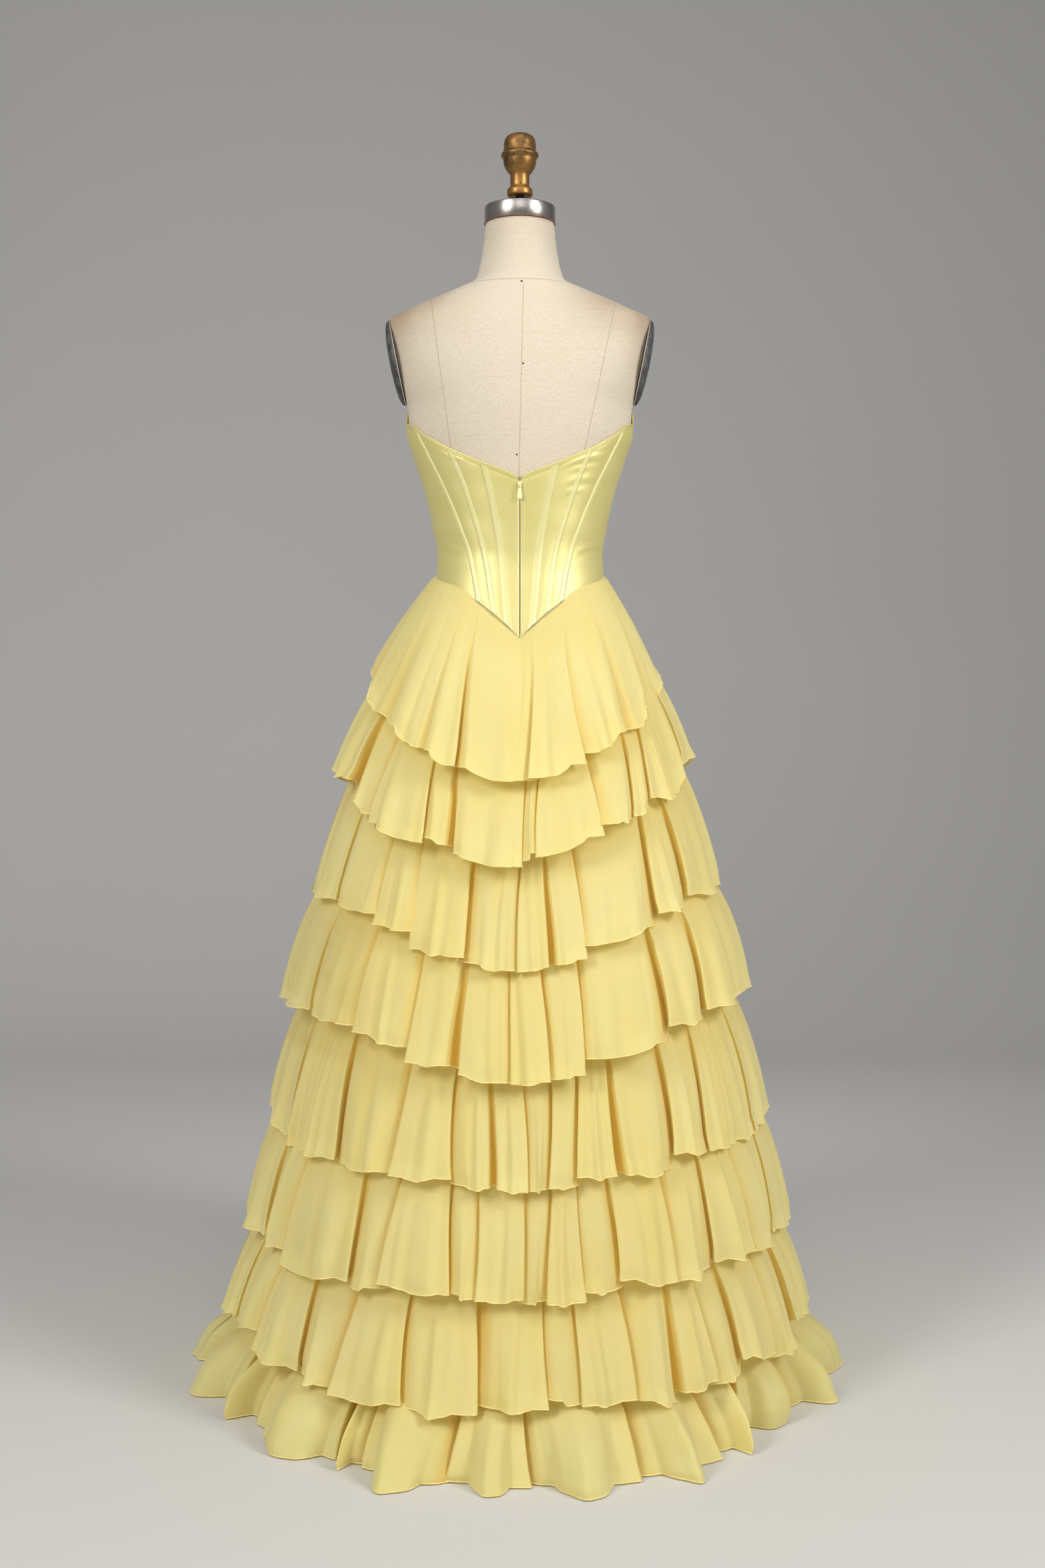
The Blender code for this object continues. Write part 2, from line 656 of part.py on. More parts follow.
def build_skirt(name, start, end):
    """The foundation, with a row of points along each tier's seam."""
    outer = []
    for i in range(SKIRT_COLUMNS + 1):
        angle = start + (end - start) * i / SKIRT_COLUMNS
        heights = [waist_height(angle) - SKIRT_TOP_DROP]
        heights += [seam_height(number, angle) for number in range(1, len(TIERS))]
        heights.append(SKIRT_SECTIONS[0].height)
        heights.insert(1, (2 * heights[0] + heights[1]) / 3)
        outer.append([oval(angle, height, *skirt_axes(angle, height)) for height in heights])
    make_object(name, *wall(outer, inner_face(outer, start, end)), "chiffon")


def all_folds(tier):
    """The back's folds and the plain front's, by rising angle, once round."""
    back = BACK_FOLDS[tier.name]
    first, last = back[0].angle + 360, back[-1].angle
    folds = list(back)
    for i in range(1, tier.front_folds):
        uneven = 0.12 * math.sin(2.4 * i)
        angle = last + (first - last) * (i + uneven) / tier.front_folds
        depth = tier.front_depth * (0.85 + 0.15 * math.cos(1.7 * i))
        folds.append(Fold(angle, depth, 1 if i % 2 else -1, 5 * math.sin(1.9 * i)))
    return folds


def fold_at(folds, angle):
    """At an angle: how deep, how far leaned and how far dropped in m, and how full the lobe is."""
    start = folds[0].angle
    angle = (angle - start) % 360 + start
    i = max(k for k, fold in enumerate(folds) if fold.angle <= angle + 1e-9)
    here, before = folds[i], folds[i - 1]
    after = folds[(i + 1) % len(folds)]
    width = (after.angle - here.angle) % 360
    share = (angle - here.angle) / width
    depth = here.depth * (1 - share) + after.depth * share
    fullness = 1 - abs(2 * share - 1) ** LOBE_FLATNESS
    sunk = depth * (1 - fullness)
    on_valley = share < 1e-6
    lean = here.lean * here.depth * LEAN_REACH if on_valley else 0.0
    drop = (here.drop + before.drop) / 2 if on_valley else here.drop
    return sunk * MM, lean * MM, drop * MM, fullness


def hem_height(tier, angle):
    rise = (folded(angle) / 90) ** tier.rise
    return tier.back_height + (tier.side_height - tier.back_height) * rise


def seam_height(number, angle):
    if number == 0:
        return waist_height(angle) - SEAM_GAP
    return hem_height(TIERS[number - 1], angle) + TIER_LAP


def tier_point(number, folds, angle, share):
    """A point on a tier's outer face, share of the way from its seam to its hem."""
    tier = TIERS[number]
    sunk, lean, drop, fullness = fold_at(folds, angle)
    top = seam_height(number, angle)
    lift = TIER_CLEARANCE + CHIFFON_THICKNESS
    side_top, back_top = (axis + lift for axis in skirt_axes(angle, top))
    fold_share = share ** FOLD_GROWTH
    if tier is TIERS[-1]:
        reach, height, ridge = FLOOR.at(share)
        swell = reach
        height += ridge * fullness
        sunk -= drop * share
        fold_share = min(1.0, share / FLOOR_FOLD_SHARE)
    else:
        swell = share ** tier.swell
        height = top + (hem_height(tier, angle) - drop - top) * share
    side = side_top + (tier.side - side_top) * swell - sunk * fold_share
    back = back_top + (tier.back - back_top) * swell - sunk * fold_share
    turn = angle + math.degrees(lean * fold_share / side)
    return oval(turn, height, side, back)


def tier_angles(folds, back_count, start, end):
    """The angles at which a tier's wall is read between two seams."""
    found = [start, end]
    for i, fold in enumerate(folds):
        width = (folds[(i + 1) % len(folds)].angle - fold.angle) % 360
        wide_and_seen = i < back_count and width > NARROW_LOBE
        for share in WIDE_SAMPLES if wide_and_seen else FEW_SAMPLES:
            angle = fold.angle + width * share
            for turned_by in (-360, 0, 360):
                if start + SAMPLE_GAP < angle + turned_by < end - SAMPLE_GAP:
                    found.append(angle + turned_by)
    return sorted(found)


def build_tier_piece(name, number, start, end, zip_side=0):
    """One cut piece of a tier between two seams. zip_side says at which end it meets the zip."""
    tier, folds = TIERS[number], all_folds(TIERS[number])
    half = SEAM_GAP / 2
    shares = FLOUNCE_SHARES if number == 0 else WALL_SHARES
    if tier is TIERS[-1]:
        shares = [row.share for row in FLOOR_ROWS]
    angles = tier_angles(folds, len(BACK_FOLDS[tier.name]), start, end)
    outer = []
    for angle in angles:
        column = []
        for share in shares:
            point = tier_point(number, folds, angle, share)
            gap = 0.0
            if angle in (start, end):
                inward = 1 if angle == start else -1
                gap = inward * half
                if zip_side and angle == 0 and share <= FLOUNCE_SHARES[1]:
                    gap = inward * ZIP_HALF_SLOT
            turn = math.radians(angle)
            column.append(point + gap * np.array((math.cos(turn), math.sin(turn), 0.0)))
        outer.append(column)
    inner = inner_face(outer, start, end)
    if tier is TIERS[-1]:
        inner[:, :, 2] = np.maximum(inner[:, :, 2], FLOOR_CLEARANCE)
    make_object(name, *wall(outer, inner), "chiffon", smooth_angle=70)


def build_tiers():
    for number, tier in enumerate(TIERS):
        if number == 0:
            build_tier_piece(f"{tier.name}_back_left", number, -90, 0, zip_side=1)
            build_tier_piece(f"{tier.name}_back_right", number, 0, 90, zip_side=-1)
        else:
            build_tier_piece(f"{tier.name}_back", number, -90, 90)
        build_tier_piece(f"{tier.name}_front", number, 90, 270)


# Zip

def build_chain():
    """The closed chain down the centre back: on the bodice, and then on the first tier."""
    folds = all_folds(TIERS[0])
    path = []
    bottom = waist_height(0) + SEAM_GAP
    level = FORM_CLEARANCE + SATIN_THICKNESS - CHAIN_THICKNESS / 2
    for i in range(9):
        height = CHAIN_TOP + (bottom - CHAIN_TOP) * i / 8
        path.append(off_form(0, height, level + (CHAIN_RISE if i == 8 else 0.0)))
    for share in (CHAIN_END_SHARE * 0.5, CHAIN_END_SHARE):
        path.append(tier_point(0, folds, 0, share) + np.array((0.0, CHIFFON_THICKNESS / 2, 0.0)))
    path = [np.array((0.0, p[1], p[2])) for p in path]
    across = [np.array((1.0, 0.0, 0.0))] * len(path)
    out = []
    for i in range(len(path)):
        along = path[min(i + 1, len(path) - 1)] - path[max(i - 1, 0)]
        out.append(unit(np.cross(across[i], along)))
    strip = sweep(path, across, out, CHAIN_HALF_WIDTH, -CHAIN_THICKNESS / 2, CHAIN_THICKNESS / 2)
    make_object("zip_chain", *strip, "zip_metal")


def slider_face():
    """The y of the slider's outer face."""
    chain = off_form(0, SLIDER_HEIGHT, FORM_CLEARANCE + SATIN_THICKNESS)[1]
    return chain - SLIDER_CLEARANCE - SLIDER_SIZE[1]


def build_slider():
    """The slider's body with a staple-shaped bridge, cut as one profile and a body below it."""
    face = slider_face()
    half_height = SLIDER_SIZE[2] / 2
    post = BRIDGE_HALF_OPENING + BRIDGE_STRAP
    width = BRIDGE_WIDTH / 2
    body_half = SLIDER_SIZE[0] / 2
    outer_y = face - BRIDGE_CAVITY - BRIDGE_STRAP
    inner_y = face - BRIDGE_CAVITY
    rear_y = face + SLIDER_SIZE[1]
    z = SLIDER_HEIGHT
    bm = bmesh.new()
    columns = (-body_half, -width, width, body_half)
    levels = (-half_height, -post, -BRIDGE_HALF_OPENING, BRIDGE_HALF_OPENING, post, half_height)
    layers = (rear_y, face, inner_y, outer_y)
    filled = set()
    for i in range(3):
        for k in range(5):
            filled.add((i, 0, k))
    for k, layer in ((1, 1), (3, 1), (1, 2), (2, 2), (3, 2)):
        filled.add((1, layer, k))
    corner = {}

    def vertex(i, j, k):
        key = (i, j, k)
        if key not in corner:
            corner[key] = bm.verts.new((columns[i], layers[j], z + levels[k]))
        return corner[key]

    for i, j, k in filled:
        for axis in range(3):
            for step in (0, 1):
                beside = [i, j, k]
                beside[axis] += 1 if step else -1
                if tuple(beside) in filled:
                    continue
                fixed = [i, j, k][axis] + step
                others = [n for n in range(3) if n != axis]
                loop = []
                for a, b in ((0, 0), (1, 0), (1, 1), (0, 1)):
                    place = [0, 0, 0]
                    place[axis] = fixed
                    place[others[0]] = [i, j, k][others[0]] + a
                    place[others[1]] = [i, j, k][others[1]] + b
                    loop.append(vertex(*place))
                bm.faces.new(loop)
    bmesh.ops.recalc_face_normals(bm, faces=bm.faces)
    mesh = bpy.data.meshes.new("zip_slider")
    bm.to_mesh(mesh)
    bm.free()
    mesh.materials.append(materials["zip_metal"])
    thing = bpy.data.objects.new("zip_slider", mesh)
    bpy.context.scene.collection.objects.link(thing)


def build_pull():
    """The teardrop pull: a plate with a window whose top bar turns in the slider's bridge."""
    centre_z = PULL_BAR / 2 - PULL_LENGTH + PULL_DROP_RADIUS
    outline = [(-PULL_NECK_HALF, PULL_BAR / 2)]
    outline.append((-PULL_NECK_HALF, -PULL_BAR / 2 - PULL_WINDOW))
    for i in range(PULL_DROP_STEPS + 1):
        turn = math.radians(PULL_DROP_START + PULL_DROP_TURN * i / PULL_DROP_STEPS)
        outline.append((PULL_DROP_RADIUS * math.cos(turn), centre_z + PULL_DROP_RADIUS * math.sin(turn)))
    outline.append((PULL_NECK_HALF, -PULL_BAR / 2 - PULL_WINDOW))
    outline.append((PULL_NECK_HALF, PULL_BAR / 2))
    window = [
        (-PULL_WINDOW_HALF, -PULL_BAR / 2),
        (-PULL_WINDOW_HALF, -PULL_BAR / 2 - PULL_WINDOW),
        (PULL_WINDOW_HALF, -PULL_BAR / 2 - PULL_WINDOW),
        (PULL_WINDOW_HALF, -PULL_BAR / 2),
    ]
    axis_y = slider_face() - PULL_AXIS_OFF
    bm = bmesh.new()
    layers = []
    for y in (axis_y - PULL_THICKNESS / 2, axis_y + PULL_THICKNESS / 2):
        rim = [bm.verts.new((px, y, SLIDER_HEIGHT + pz)) for px, pz in outline]
        hole = [bm.verts.new((px, y, SLIDER_HEIGHT + pz)) for px, pz in window]
        layers.append((rim, hole))
    for rim, hole in layers:
        last = len(rim) - 1
        bm.faces.new((rim[0], rim[1], hole[1], hole[0]))
        bm.faces.new((rim[1], *rim[2:last - 1], rim[last - 1], hole[2], hole[1]))
        bm.faces.new((rim[last - 1], rim[last], hole[3], hole[2]))
        bm.faces.new((rim[last], rim[0], hole[0], hole[3]))
    for loop in (0, 1):
        near, far = layers[0][loop], layers[1][loop]
        for i in range(len(near)):
            j = (i + 1) % len(near)
            bm.faces.new((near[i], near[j], far[j], far[i]))
    bmesh.ops.recalc_face_normals(bm, faces=bm.faces)
    mesh = bpy.data.meshes.new("zip_pull")
    bm.to_mesh(mesh)
    bm.free()
    mesh.materials.append(materials["zip_metal"])
    pull = bpy.data.objects.new("zip_pull", mesh)
    bpy.context.scene.collection.objects.link(pull)


for thing in list(bpy.data.objects):
    bpy.data.objects.remove(thing)
materials = {name: make_material(name, finish) for name, finish in FINISHES.items()}
build_form()
build_plate("arm_plate_right", 1)
build_plate("arm_plate_left", -1)
build_head_and_stand()
build_bodice()
build_skirt("foundation_back", -90 + SKIRT_SEAM, 90 - SKIRT_SEAM)
build_skirt("foundation_front", 90 + SKIRT_SEAM, 270 - SKIRT_SEAM)
build_tiers()
build_chain()
build_slider()
build_pull()
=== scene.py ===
"""Surface detail for a tiered chiffon gown on a dress form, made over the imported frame.

The gown's back, with its zip, faces -Y. An angle is in degrees round the form from the centre
back: 0 is the back, 90 the side at +X and 180 the centre front.
"""

import math
from collections import namedtuple

import bpy
import numpy as np
from bpy.props import FloatProperty, FloatVectorProperty, IntProperty, PointerProperty
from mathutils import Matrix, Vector


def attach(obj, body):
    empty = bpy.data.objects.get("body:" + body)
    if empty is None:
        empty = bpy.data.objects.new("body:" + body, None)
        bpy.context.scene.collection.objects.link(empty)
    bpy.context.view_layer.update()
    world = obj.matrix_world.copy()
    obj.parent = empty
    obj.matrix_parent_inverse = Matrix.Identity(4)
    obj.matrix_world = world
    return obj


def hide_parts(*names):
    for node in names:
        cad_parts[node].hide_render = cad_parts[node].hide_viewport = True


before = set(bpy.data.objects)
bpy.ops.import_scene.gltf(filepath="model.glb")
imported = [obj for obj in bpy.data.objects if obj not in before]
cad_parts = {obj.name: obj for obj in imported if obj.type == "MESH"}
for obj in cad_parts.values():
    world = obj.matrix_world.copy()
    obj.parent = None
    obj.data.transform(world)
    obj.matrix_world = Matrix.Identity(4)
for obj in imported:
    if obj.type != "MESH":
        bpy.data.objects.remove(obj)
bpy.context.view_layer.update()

bl_info = {
    "name": "Tiered Chiffon Gown",
    "version": (1, 0, 0),
    "blender": (4, 5, 0),
    "location": "3D View > Sidebar > Gown",
    "description": "Makes the satin, chiffon and fittings of a tiered gown on a dress form",
    "category": "Object",
}

MM = 0.001
GOWN = "gown_on_form"
PULL = "pull_tab"

# Gaps and walls, as in the frame
SATIN_THICKNESS = 1.6 * MM
CHIFFON_THICKNESS = 1.4 * MM
FORM_CLEARANCE = 1.5 * MM
TIER_CLEARANCE = 1.0 * MM
SEAM_GAP = 0.3 * MM


def table_of(kind, *values):
    """The rows of a table, with their columns named."""
    return tuple(kind(*row) for row in values)


# The form's level sections, in metres
FormSection = namedtuple("FormSection", "height half_width back front")
FORM_SECTIONS = table_of(
    FormSection,
    (0.800, 0.150, 0.106, 0.098), (0.812, 0.158, 0.113, 0.104), (0.870, 0.165, 0.121, 0.108),
    (0.980, 0.156, 0.120, 0.106), (1.045, 0.1425, 0.109, 0.101), (1.100, 0.1265, 0.097, 0.094),
    (1.146, 0.1165, 0.0885, 0.089), (1.168, 0.1155, 0.087, 0.090), (1.207, 0.1215, 0.089, 0.097),
    (1.256, 0.1325, 0.094, 0.108), (1.307, 0.1485, 0.100, 0.119), (1.344, 0.1590, 0.1035, 0.123),
    (1.375, 0.1600, 0.105, 0.120), (1.410, 0.1740, 0.103, 0.112), (1.450, 0.1860, 0.098, 0.102),
    (1.490, 0.1920, 0.089, 0.088), (1.506, 0.1850, 0.083, 0.080), (1.518, 0.1600, 0.078, 0.074),
    (1.532, 0.1280, 0.073, 0.069), (1.546, 0.0930, 0.067, 0.064), (1.560, 0.0640, 0.061, 0.059),
    (1.600, 0.0535, 0.054, 0.053), (1.640, 0.0490, 0.049, 0.049),
)
PLATE_X = 0.1740
PLATE_HEIGHT = 1.444
PLATE_TILT = math.radians(11)
PLATE_HALF_HEIGHT = 0.061
PLATE_HALF_DEPTH = 0.046
PLATE_THICKNESS = 5 * MM
PLATE_FLAT_BASE = 1.375

Turned = namedtuple("Turned", "radius rise")
CAP_PROFILE = table_of(
    Turned,
    (0.0460, 0.0000), (0.0499, 0.0002), (0.0505, 0.0010), (0.0505, 0.0225), (0.0501, 0.0236),
    (0.0490, 0.0240), (0.0300, 0.0240), (0.0090, 0.0240),
)
FINIAL_PROFILE = table_of(
    Turned,
    (0.0060, 0.0000), (0.0160, 0.0000), (0.0175, 0.0006), (0.0181, 0.0020), (0.0181, 0.0085),
    (0.0174, 0.0104), (0.0150, 0.0115), (0.0140, 0.0130), (0.0137, 0.0160), (0.0137, 0.0290),
    (0.0146, 0.0315), (0.0176, 0.0345), (0.0207, 0.0395), (0.0227, 0.0445), (0.0236, 0.0505),
    (0.0241, 0.0540), (0.0262, 0.0555), (0.0267, 0.0580), (0.0262, 0.0602), (0.0238, 0.0615),
    (0.0231, 0.0640), (0.0229, 0.0735), (0.0217, 0.0795), (0.0193, 0.0836), (0.0150, 0.0862),
    (0.0090, 0.0872), (0.0004, 0.0875),
)
NECK_TOP = FORM_SECTIONS[-1].height
CAP_BASE = NECK_TOP + SEAM_GAP
STEM_BASE = CAP_BASE + 0.0240 + SEAM_GAP
STEM_RADIUS = 6.8 * MM
STEM_HEIGHT = 15 * MM
FINIAL_BASE = STEM_BASE + STEM_HEIGHT + SEAM_GAP

WAIST_SIDE = 1.149
WAIST_DROP = 0.104
WAIST_SPREAD = 38.0
TopEdge = namedtuple("TopEdge", "angle height")
TOP_EDGE = table_of(
    TopEdge,
    (0, 1.271), (12, 1.282), (22, 1.292), (40, 1.312), (53, 1.329), (70, 1.350), (90, 1.360),
    (96, 1.374), (104, 1.379), (125, 1.374), (150, 1.368), (180, 1.360),
)
BINDING_HEIGHT = 3.4 * MM
SeamLine = namedtuple("SeamLine", "name low_height low_angle high_height high_angle")
CENTRE_BACK = SeamLine("centre_back", 1.05, 0.0, 1.27, 0.0)
INNER_SEAM = SeamLine("inner", 1.06, 6.5, 1.29, 20.5)
MIDDLE_SEAM = SeamLine("middle", 1.08, 15.3, 1.31, 40.6)
OUTER_SEAM = SeamLine("outer", 1.098, 26.0, 1.355, 67.0)
SIDE_SEAM = SeamLine("side", 1.15, 90.0, 1.36, 90.0)
FRONT_SEAM = SeamLine("front", 1.11, 158.0, 1.37, 146.0)
OTHER_FRONT_SEAM = SeamLine("front_left", 1.11, 202.0, 1.37, 214.0)
CHANNEL_SEAMS = (INNER_SEAM, MIDDLE_SEAM, OUTER_SEAM)
CHANNEL_WIDTH = 8.4 * MM
# The least side that a tape's flat piece of cloth is given, when its size is worked
# out. The least side that a flat piece of cloth can be declared with
LEAST_FLAT = 10.1 * MM

# Creases that the satin shows: where, how far each runs, its slope, and how deep it is
Crease = namedtuple("Crease", "x z length width slope depth")
SATIN_CREASES = table_of(
    Crease,
    (0.094, 1.322, 0.020, 0.0036, 0.38, 0.75), (0.101, 1.311, 0.015, 0.0028, 0.30, 0.5),
    (0.090, 1.299, 0.028, 0.0040, 0.27, 0.8), (0.082, 1.284, 0.014, 0.0030, 0.20, 0.35),
    (0.088, 1.270, 0.023, 0.0040, 0.15, 0.55), (0.075, 1.253, 0.013, 0.0034, 0.10, 0.3),
    (-0.090, 1.312, 0.026, 0.0036, -0.30, 0.5), (-0.085, 1.298, 0.022, 0.0034, -0.20, 0.4),
    (0.050, 1.290, 0.014, 0.0032, 0.20, 0.3), (-0.045, 1.284, 0.016, 0.0034, -0.30, 0.3),
    (0.100, 1.178, 0.018, 0.0040, 0.3, 0.5), (-0.100, 1.176, 0.018, 0.0040, -0.3, 0.4),
)

SkirtSection = namedtuple("SkirtSection", "height side back")
SKIRT_SECTIONS = table_of(
    SkirtSection,
    (0.030, 0.362, 0.362), (0.122, 0.353, 0.353), (0.250, 0.336, 0.334), (0.400, 0.312, 0.307),
    (0.540, 0.288, 0.278), (0.660, 0.264, 0.248), (0.776, 0.239, 0.217), (0.894, 0.211, 0.182),
    (0.960, 0.191, 0.158), (1.038, 0.164, 0.122), (1.100, 0.137, 0.106), (1.160, 0.1225, 0.094),
)
SKIRT_BLEND = 0.060
# The tiers: the hem's height and reach at the side and at the back, in metres, and the power by which
# it rises to the side; the number and depth of the front's folds; how late the tier swells out below
# its seam; how far its panels are rounded between pleats; and how much further than the frame's wall
# it reaches to the left, -X, and to the right, in mm
Tier = namedtuple("Tier", (
    "name side_height back_height side back rise front_folds front_depth swell rounding left right"
))
TIERS = table_of(
    Tier,
    ("tier_1", 1.003, 0.860, 0.211, 0.240, 1.6, 7, 9, 1.00, 0.020, 7, -12),
    ("tier_2", 0.871, 0.743, 0.265, 0.272, 1.1, 8, 20, 0.80, 0.050, 0, -24),
    ("tier_3", 0.693, 0.610, 0.292, 0.300, 0.8, 8, 20, 0.78, 0.050, 0, -12),
    ("tier_4", 0.543, 0.474, 0.339, 0.340, 0.8, 8, 22, 0.55, 0.045, -4, -15),
    ("tier_5", 0.390, 0.340, 0.356, 0.360, 1.4, 9, 21, 0.66, 0.060, -3, -8),
    ("tier_6", 0.222, 0.205, 0.388, 0.390, 1.3, 9, 22, 0.55, 0.060, 0, -9),
    ("tier_7", 0.087, 0.087, 0.420, 0.420, 1.0, 9, 24, 0.60, 0.075, 0, -10),
    ("tier_8", 0.000, 0.000, 0.469, 0.472, 1.0, 9, 30, 1.00, 0.300, -8, -18),
)
# How far a tier goes up under the one above, how its folds grow below the seam, and the share of the
# last tier by which they are full
TIER_LAP = 0.035
FOLD_GROWTH = 0.8
FLOOR_FOLD_SHARE = 0.62
FloorRow = namedtuple("FloorRow", "share reach height ridge")
FLOOR_ROWS = table_of(
    FloorRow,
    (0.00, 0.00, 0.122, 0.000), (0.25, 0.19, 0.093, 0.000), (0.50, 0.57, 0.058, 0.002),
    (0.70, 0.82, 0.029, 0.006), (0.85, 0.94, 0.010, 0.006), (0.94, 0.985, 0.004, 0.003),
    (1.00, 1.00, 0.0016, 0.001),
)

# Folds of the back: where each valley is, its depth in mm, to which side it leans (1 is +X), how
# far the lobe that follows it reaches past the even hem in mm, and how much more its end does
Fold = namedtuple("Fold", "angle depth lean drop tilt", defaults=(0,))
BACK_FOLDS = {
    "tier_1": table_of(
        Fold,
        (-84, 5, 0, -4), (-60, 7, 0, 1), (-38, 9, 0, -1, 7), (-25, 30, -1, 4, 2), (5, 17, 1, 4, -4),
        (24, 28, -1, -8), (50, 11, 0, -2), (71, 9, 0, 1),
    ),
    "tier_2": table_of(
        Fold,
        (-79, 18, 1, -9, -14), (-63, 20, -1, 2, 6), (-50, 22, 1, 13, -4), (-30, 18, -1, 0),
        (-21, 26, 0, 8, -8), (0, 20, -1, -7, -6), (6, 18, 1, -6, -3), (25, 24, -1, -18, 10),
        (41, 18, 1, -8, -1), (50, 20, 1, -18, 14), (60, 20, -1, -4, -20), (77, 18, 1, -20, 8),
    ),
    "tier_3": table_of(
        Fold,
        (-80, 14, 1, -10, -8), (-61, 12, -1, -18, -4), (-40, 20, 1, -11, -1), (-29, 16, 1, 8, -4),
        (-16, 24, -1, 8, -6), (0.6, 20, 1, 3, 3), (9, 20, 0, 6), (17, 22, -1, -8), (43, 24, 1, -22, 5),
        (57, 20, 1, -28, 12), (76, 16, -1, -14, 4),
    ),
    "tier_4": table_of(
        Fold,
        (-80, 13, 1, -11, -6), (-60, 11, -1, -18, -4), (-39, 25, 1, -17, 5), (-25, 20, 1, 4, -6),
        (-15, 24, 0, 7, -2), (-1, 18, 1, 3, 2), (6, 22, -1, 6, 1), (14, 26, -1, -10, 2),
        (39, 26, 1, -25, 6), (52, 22, 1, -30, 8), (73, 16, -1, -20, 6),
    ),
    "tier_5": table_of(
        Fold,
        (-79, 14, 1, -12, 20), (-66, 14, -1, 12, -2), (-56, 16, 1, 9, -7), (-45, 24, -1, 4, -6),
        (-27, 24, 1, -2, -5), (-16, 22, -1, -1, -1), (-5.5, 20, 0, -2, 2), (1, 14, -1, 0),
        (7, 20, 1, -1, 1), (13, 18, 1, -12, 3), (22, 24, 0, -7, 8), (37, 24, 1, -16, 9),
        (47, 18, 1, -6, 6), (56, 16, -1, 1, 4), (69, 16, 1, 6, 2),
    ),
    "tier_6": table_of(
        Fold,
        (-80, 16, 1, -20, 6), (-66, 16, -1, -9, -3), (-54, 20, 1, 5, -9), (-36, 22, -1, 4, -6),
        (-27, 20, 1, -10, 2), (-14, 22, -1, -10, 5), (-7.5, 18, 1, -4, -2), (0, 14, -1, 0, -2),
        (6, 20, 1, 0), (12, 20, -1, -11, 2), (21, 22, 1, -20, 12), (31, 20, -1, -7, -4),
        (44, 22, 1, -16, 4), (55, 18, -1, -8, -4), (69, 16, 1, -12, 12),
    ),
    "tier_7": table_of(
        Fold,
        (-82, 18, 1, -20, -6), (-70, 16, -1, -26, -4), (-57, 18, 1, -8, 4), (-45, 20, -1, -1, 5),
        (-34, 26, 1, 10, -2), (-22, 20, -1, 11), (-9, 30, -1, 3, -2), (4, 22, -1, -8, 8),
        (12, 18, 1, 2, -2), (20, 22, -1, 2, 10), (30, 26, 0, 4, -4), (38, 18, -1, 6, -6),
        (46, 20, 1, -18, 16), (56, 22, -1, 6, -4), (68, 16, 1, -24, 8), (80, 14, -1, -14, 2),
    ),
    "tier_8": table_of(
        Fold,
        (-82, 36, 1, 4), (-67, 40, -1, -8), (-53, 34, 1, 6, 2), (-34, 34, -1, 8), (-26, 30, 1, 10, 8),
        (-10.5, 34, 1, 2), (0.5, 26, -1, 0, 14), (18, 34, -1, 18, 2), (34.5, 40, -1, 12, -8),
        (48, 38, 1, -18), (62, 30, -1, 4), (77, 30, 1, -10),
    ),
}

# A pleat seen from above, where one lobe laps over the last: places across it in reaches and in
# depths, and which lobe each place belongs to, from 0 for the lower to 1 for the upper
Pleat = namedtuple("Pleat", "across inset upper")
LAPPED = table_of(
    Pleat,
    (-3.1, 0.02, 0.0), (-2.1, 0.12, 0.0), (-1.1, 0.34, 0.0), (-0.2, 0.62, 0.0), (0.55, 0.90, 0.2),
    (0.95, 1.00, 0.5), (0.65, 0.88, 0.8), (0.0, 0.48, 1.0), (-0.70, 0.12, 1.0), (-1.0, 0.01, 1.0),
    (-0.78, -0.05, 1.0), (0.1, -0.04, 1.0), (1.4, 0.0, 1.0),
)
SOFT_PLEAT = table_of(
    Pleat,
    (-2.4, 0.02, 0.0), (-1.2, 0.20, 0.0), (-0.5, 0.70, 0.2), (0.0, 1.00, 0.5), (0.5, 0.70, 0.8),
    (1.2, 0.20, 1.0), (2.4, 0.02, 1.0),
)
OPEN_PLEAT = table_of(
    Pleat,
    (-1.8, 0.0, 0.0), (-1.05, 0.03, 0.0), (-0.82, 0.40, 0.1), (-0.50, 0.88, 0.3), (0.0, 1.0, 0.5),
    (0.50, 0.88, 0.7), (0.82, 0.40, 0.9), (1.05, 0.03, 1.0), (1.8, 0.0, 1.0),
)
# Slow waves over the panels between pleats: length in metres, height in mm, and drift down the cloth
Wave = namedtuple("Wave", "length height drift")
WAVES = table_of(Wave, (0.067, 2.6, 0.5), (0.041, 1.5, -0.7), (0.026, 0.6, 0.9), (0.0147, 0.2, -1.3))
# How much later a tier swells out at the back than at the side
BACK_SWELL = 0.25
# How far the last tier is drawn in all round and, besides, halfway between back and side, in mm
FLOOR_DRAW_IN = 22.0
CORNER_DRAW_IN = 24.0
# In mm: how far a tier bows out between seam and hem, how far its hem sags between pleats, and how
# far its folds wander to each side, most of all at the seam
BOW = 4.0
HEM_SAG = 4.5
WANDER = 9.0

ZIP_TOP = 1.2665
SLIDER_HEIGHT = 1.2590
SLIDER_CLEARANCE = 1.0 * MM
SLIDER_DEPTH = 1.8 * MM
PULL_AXIS_OFF = 1.4 * MM


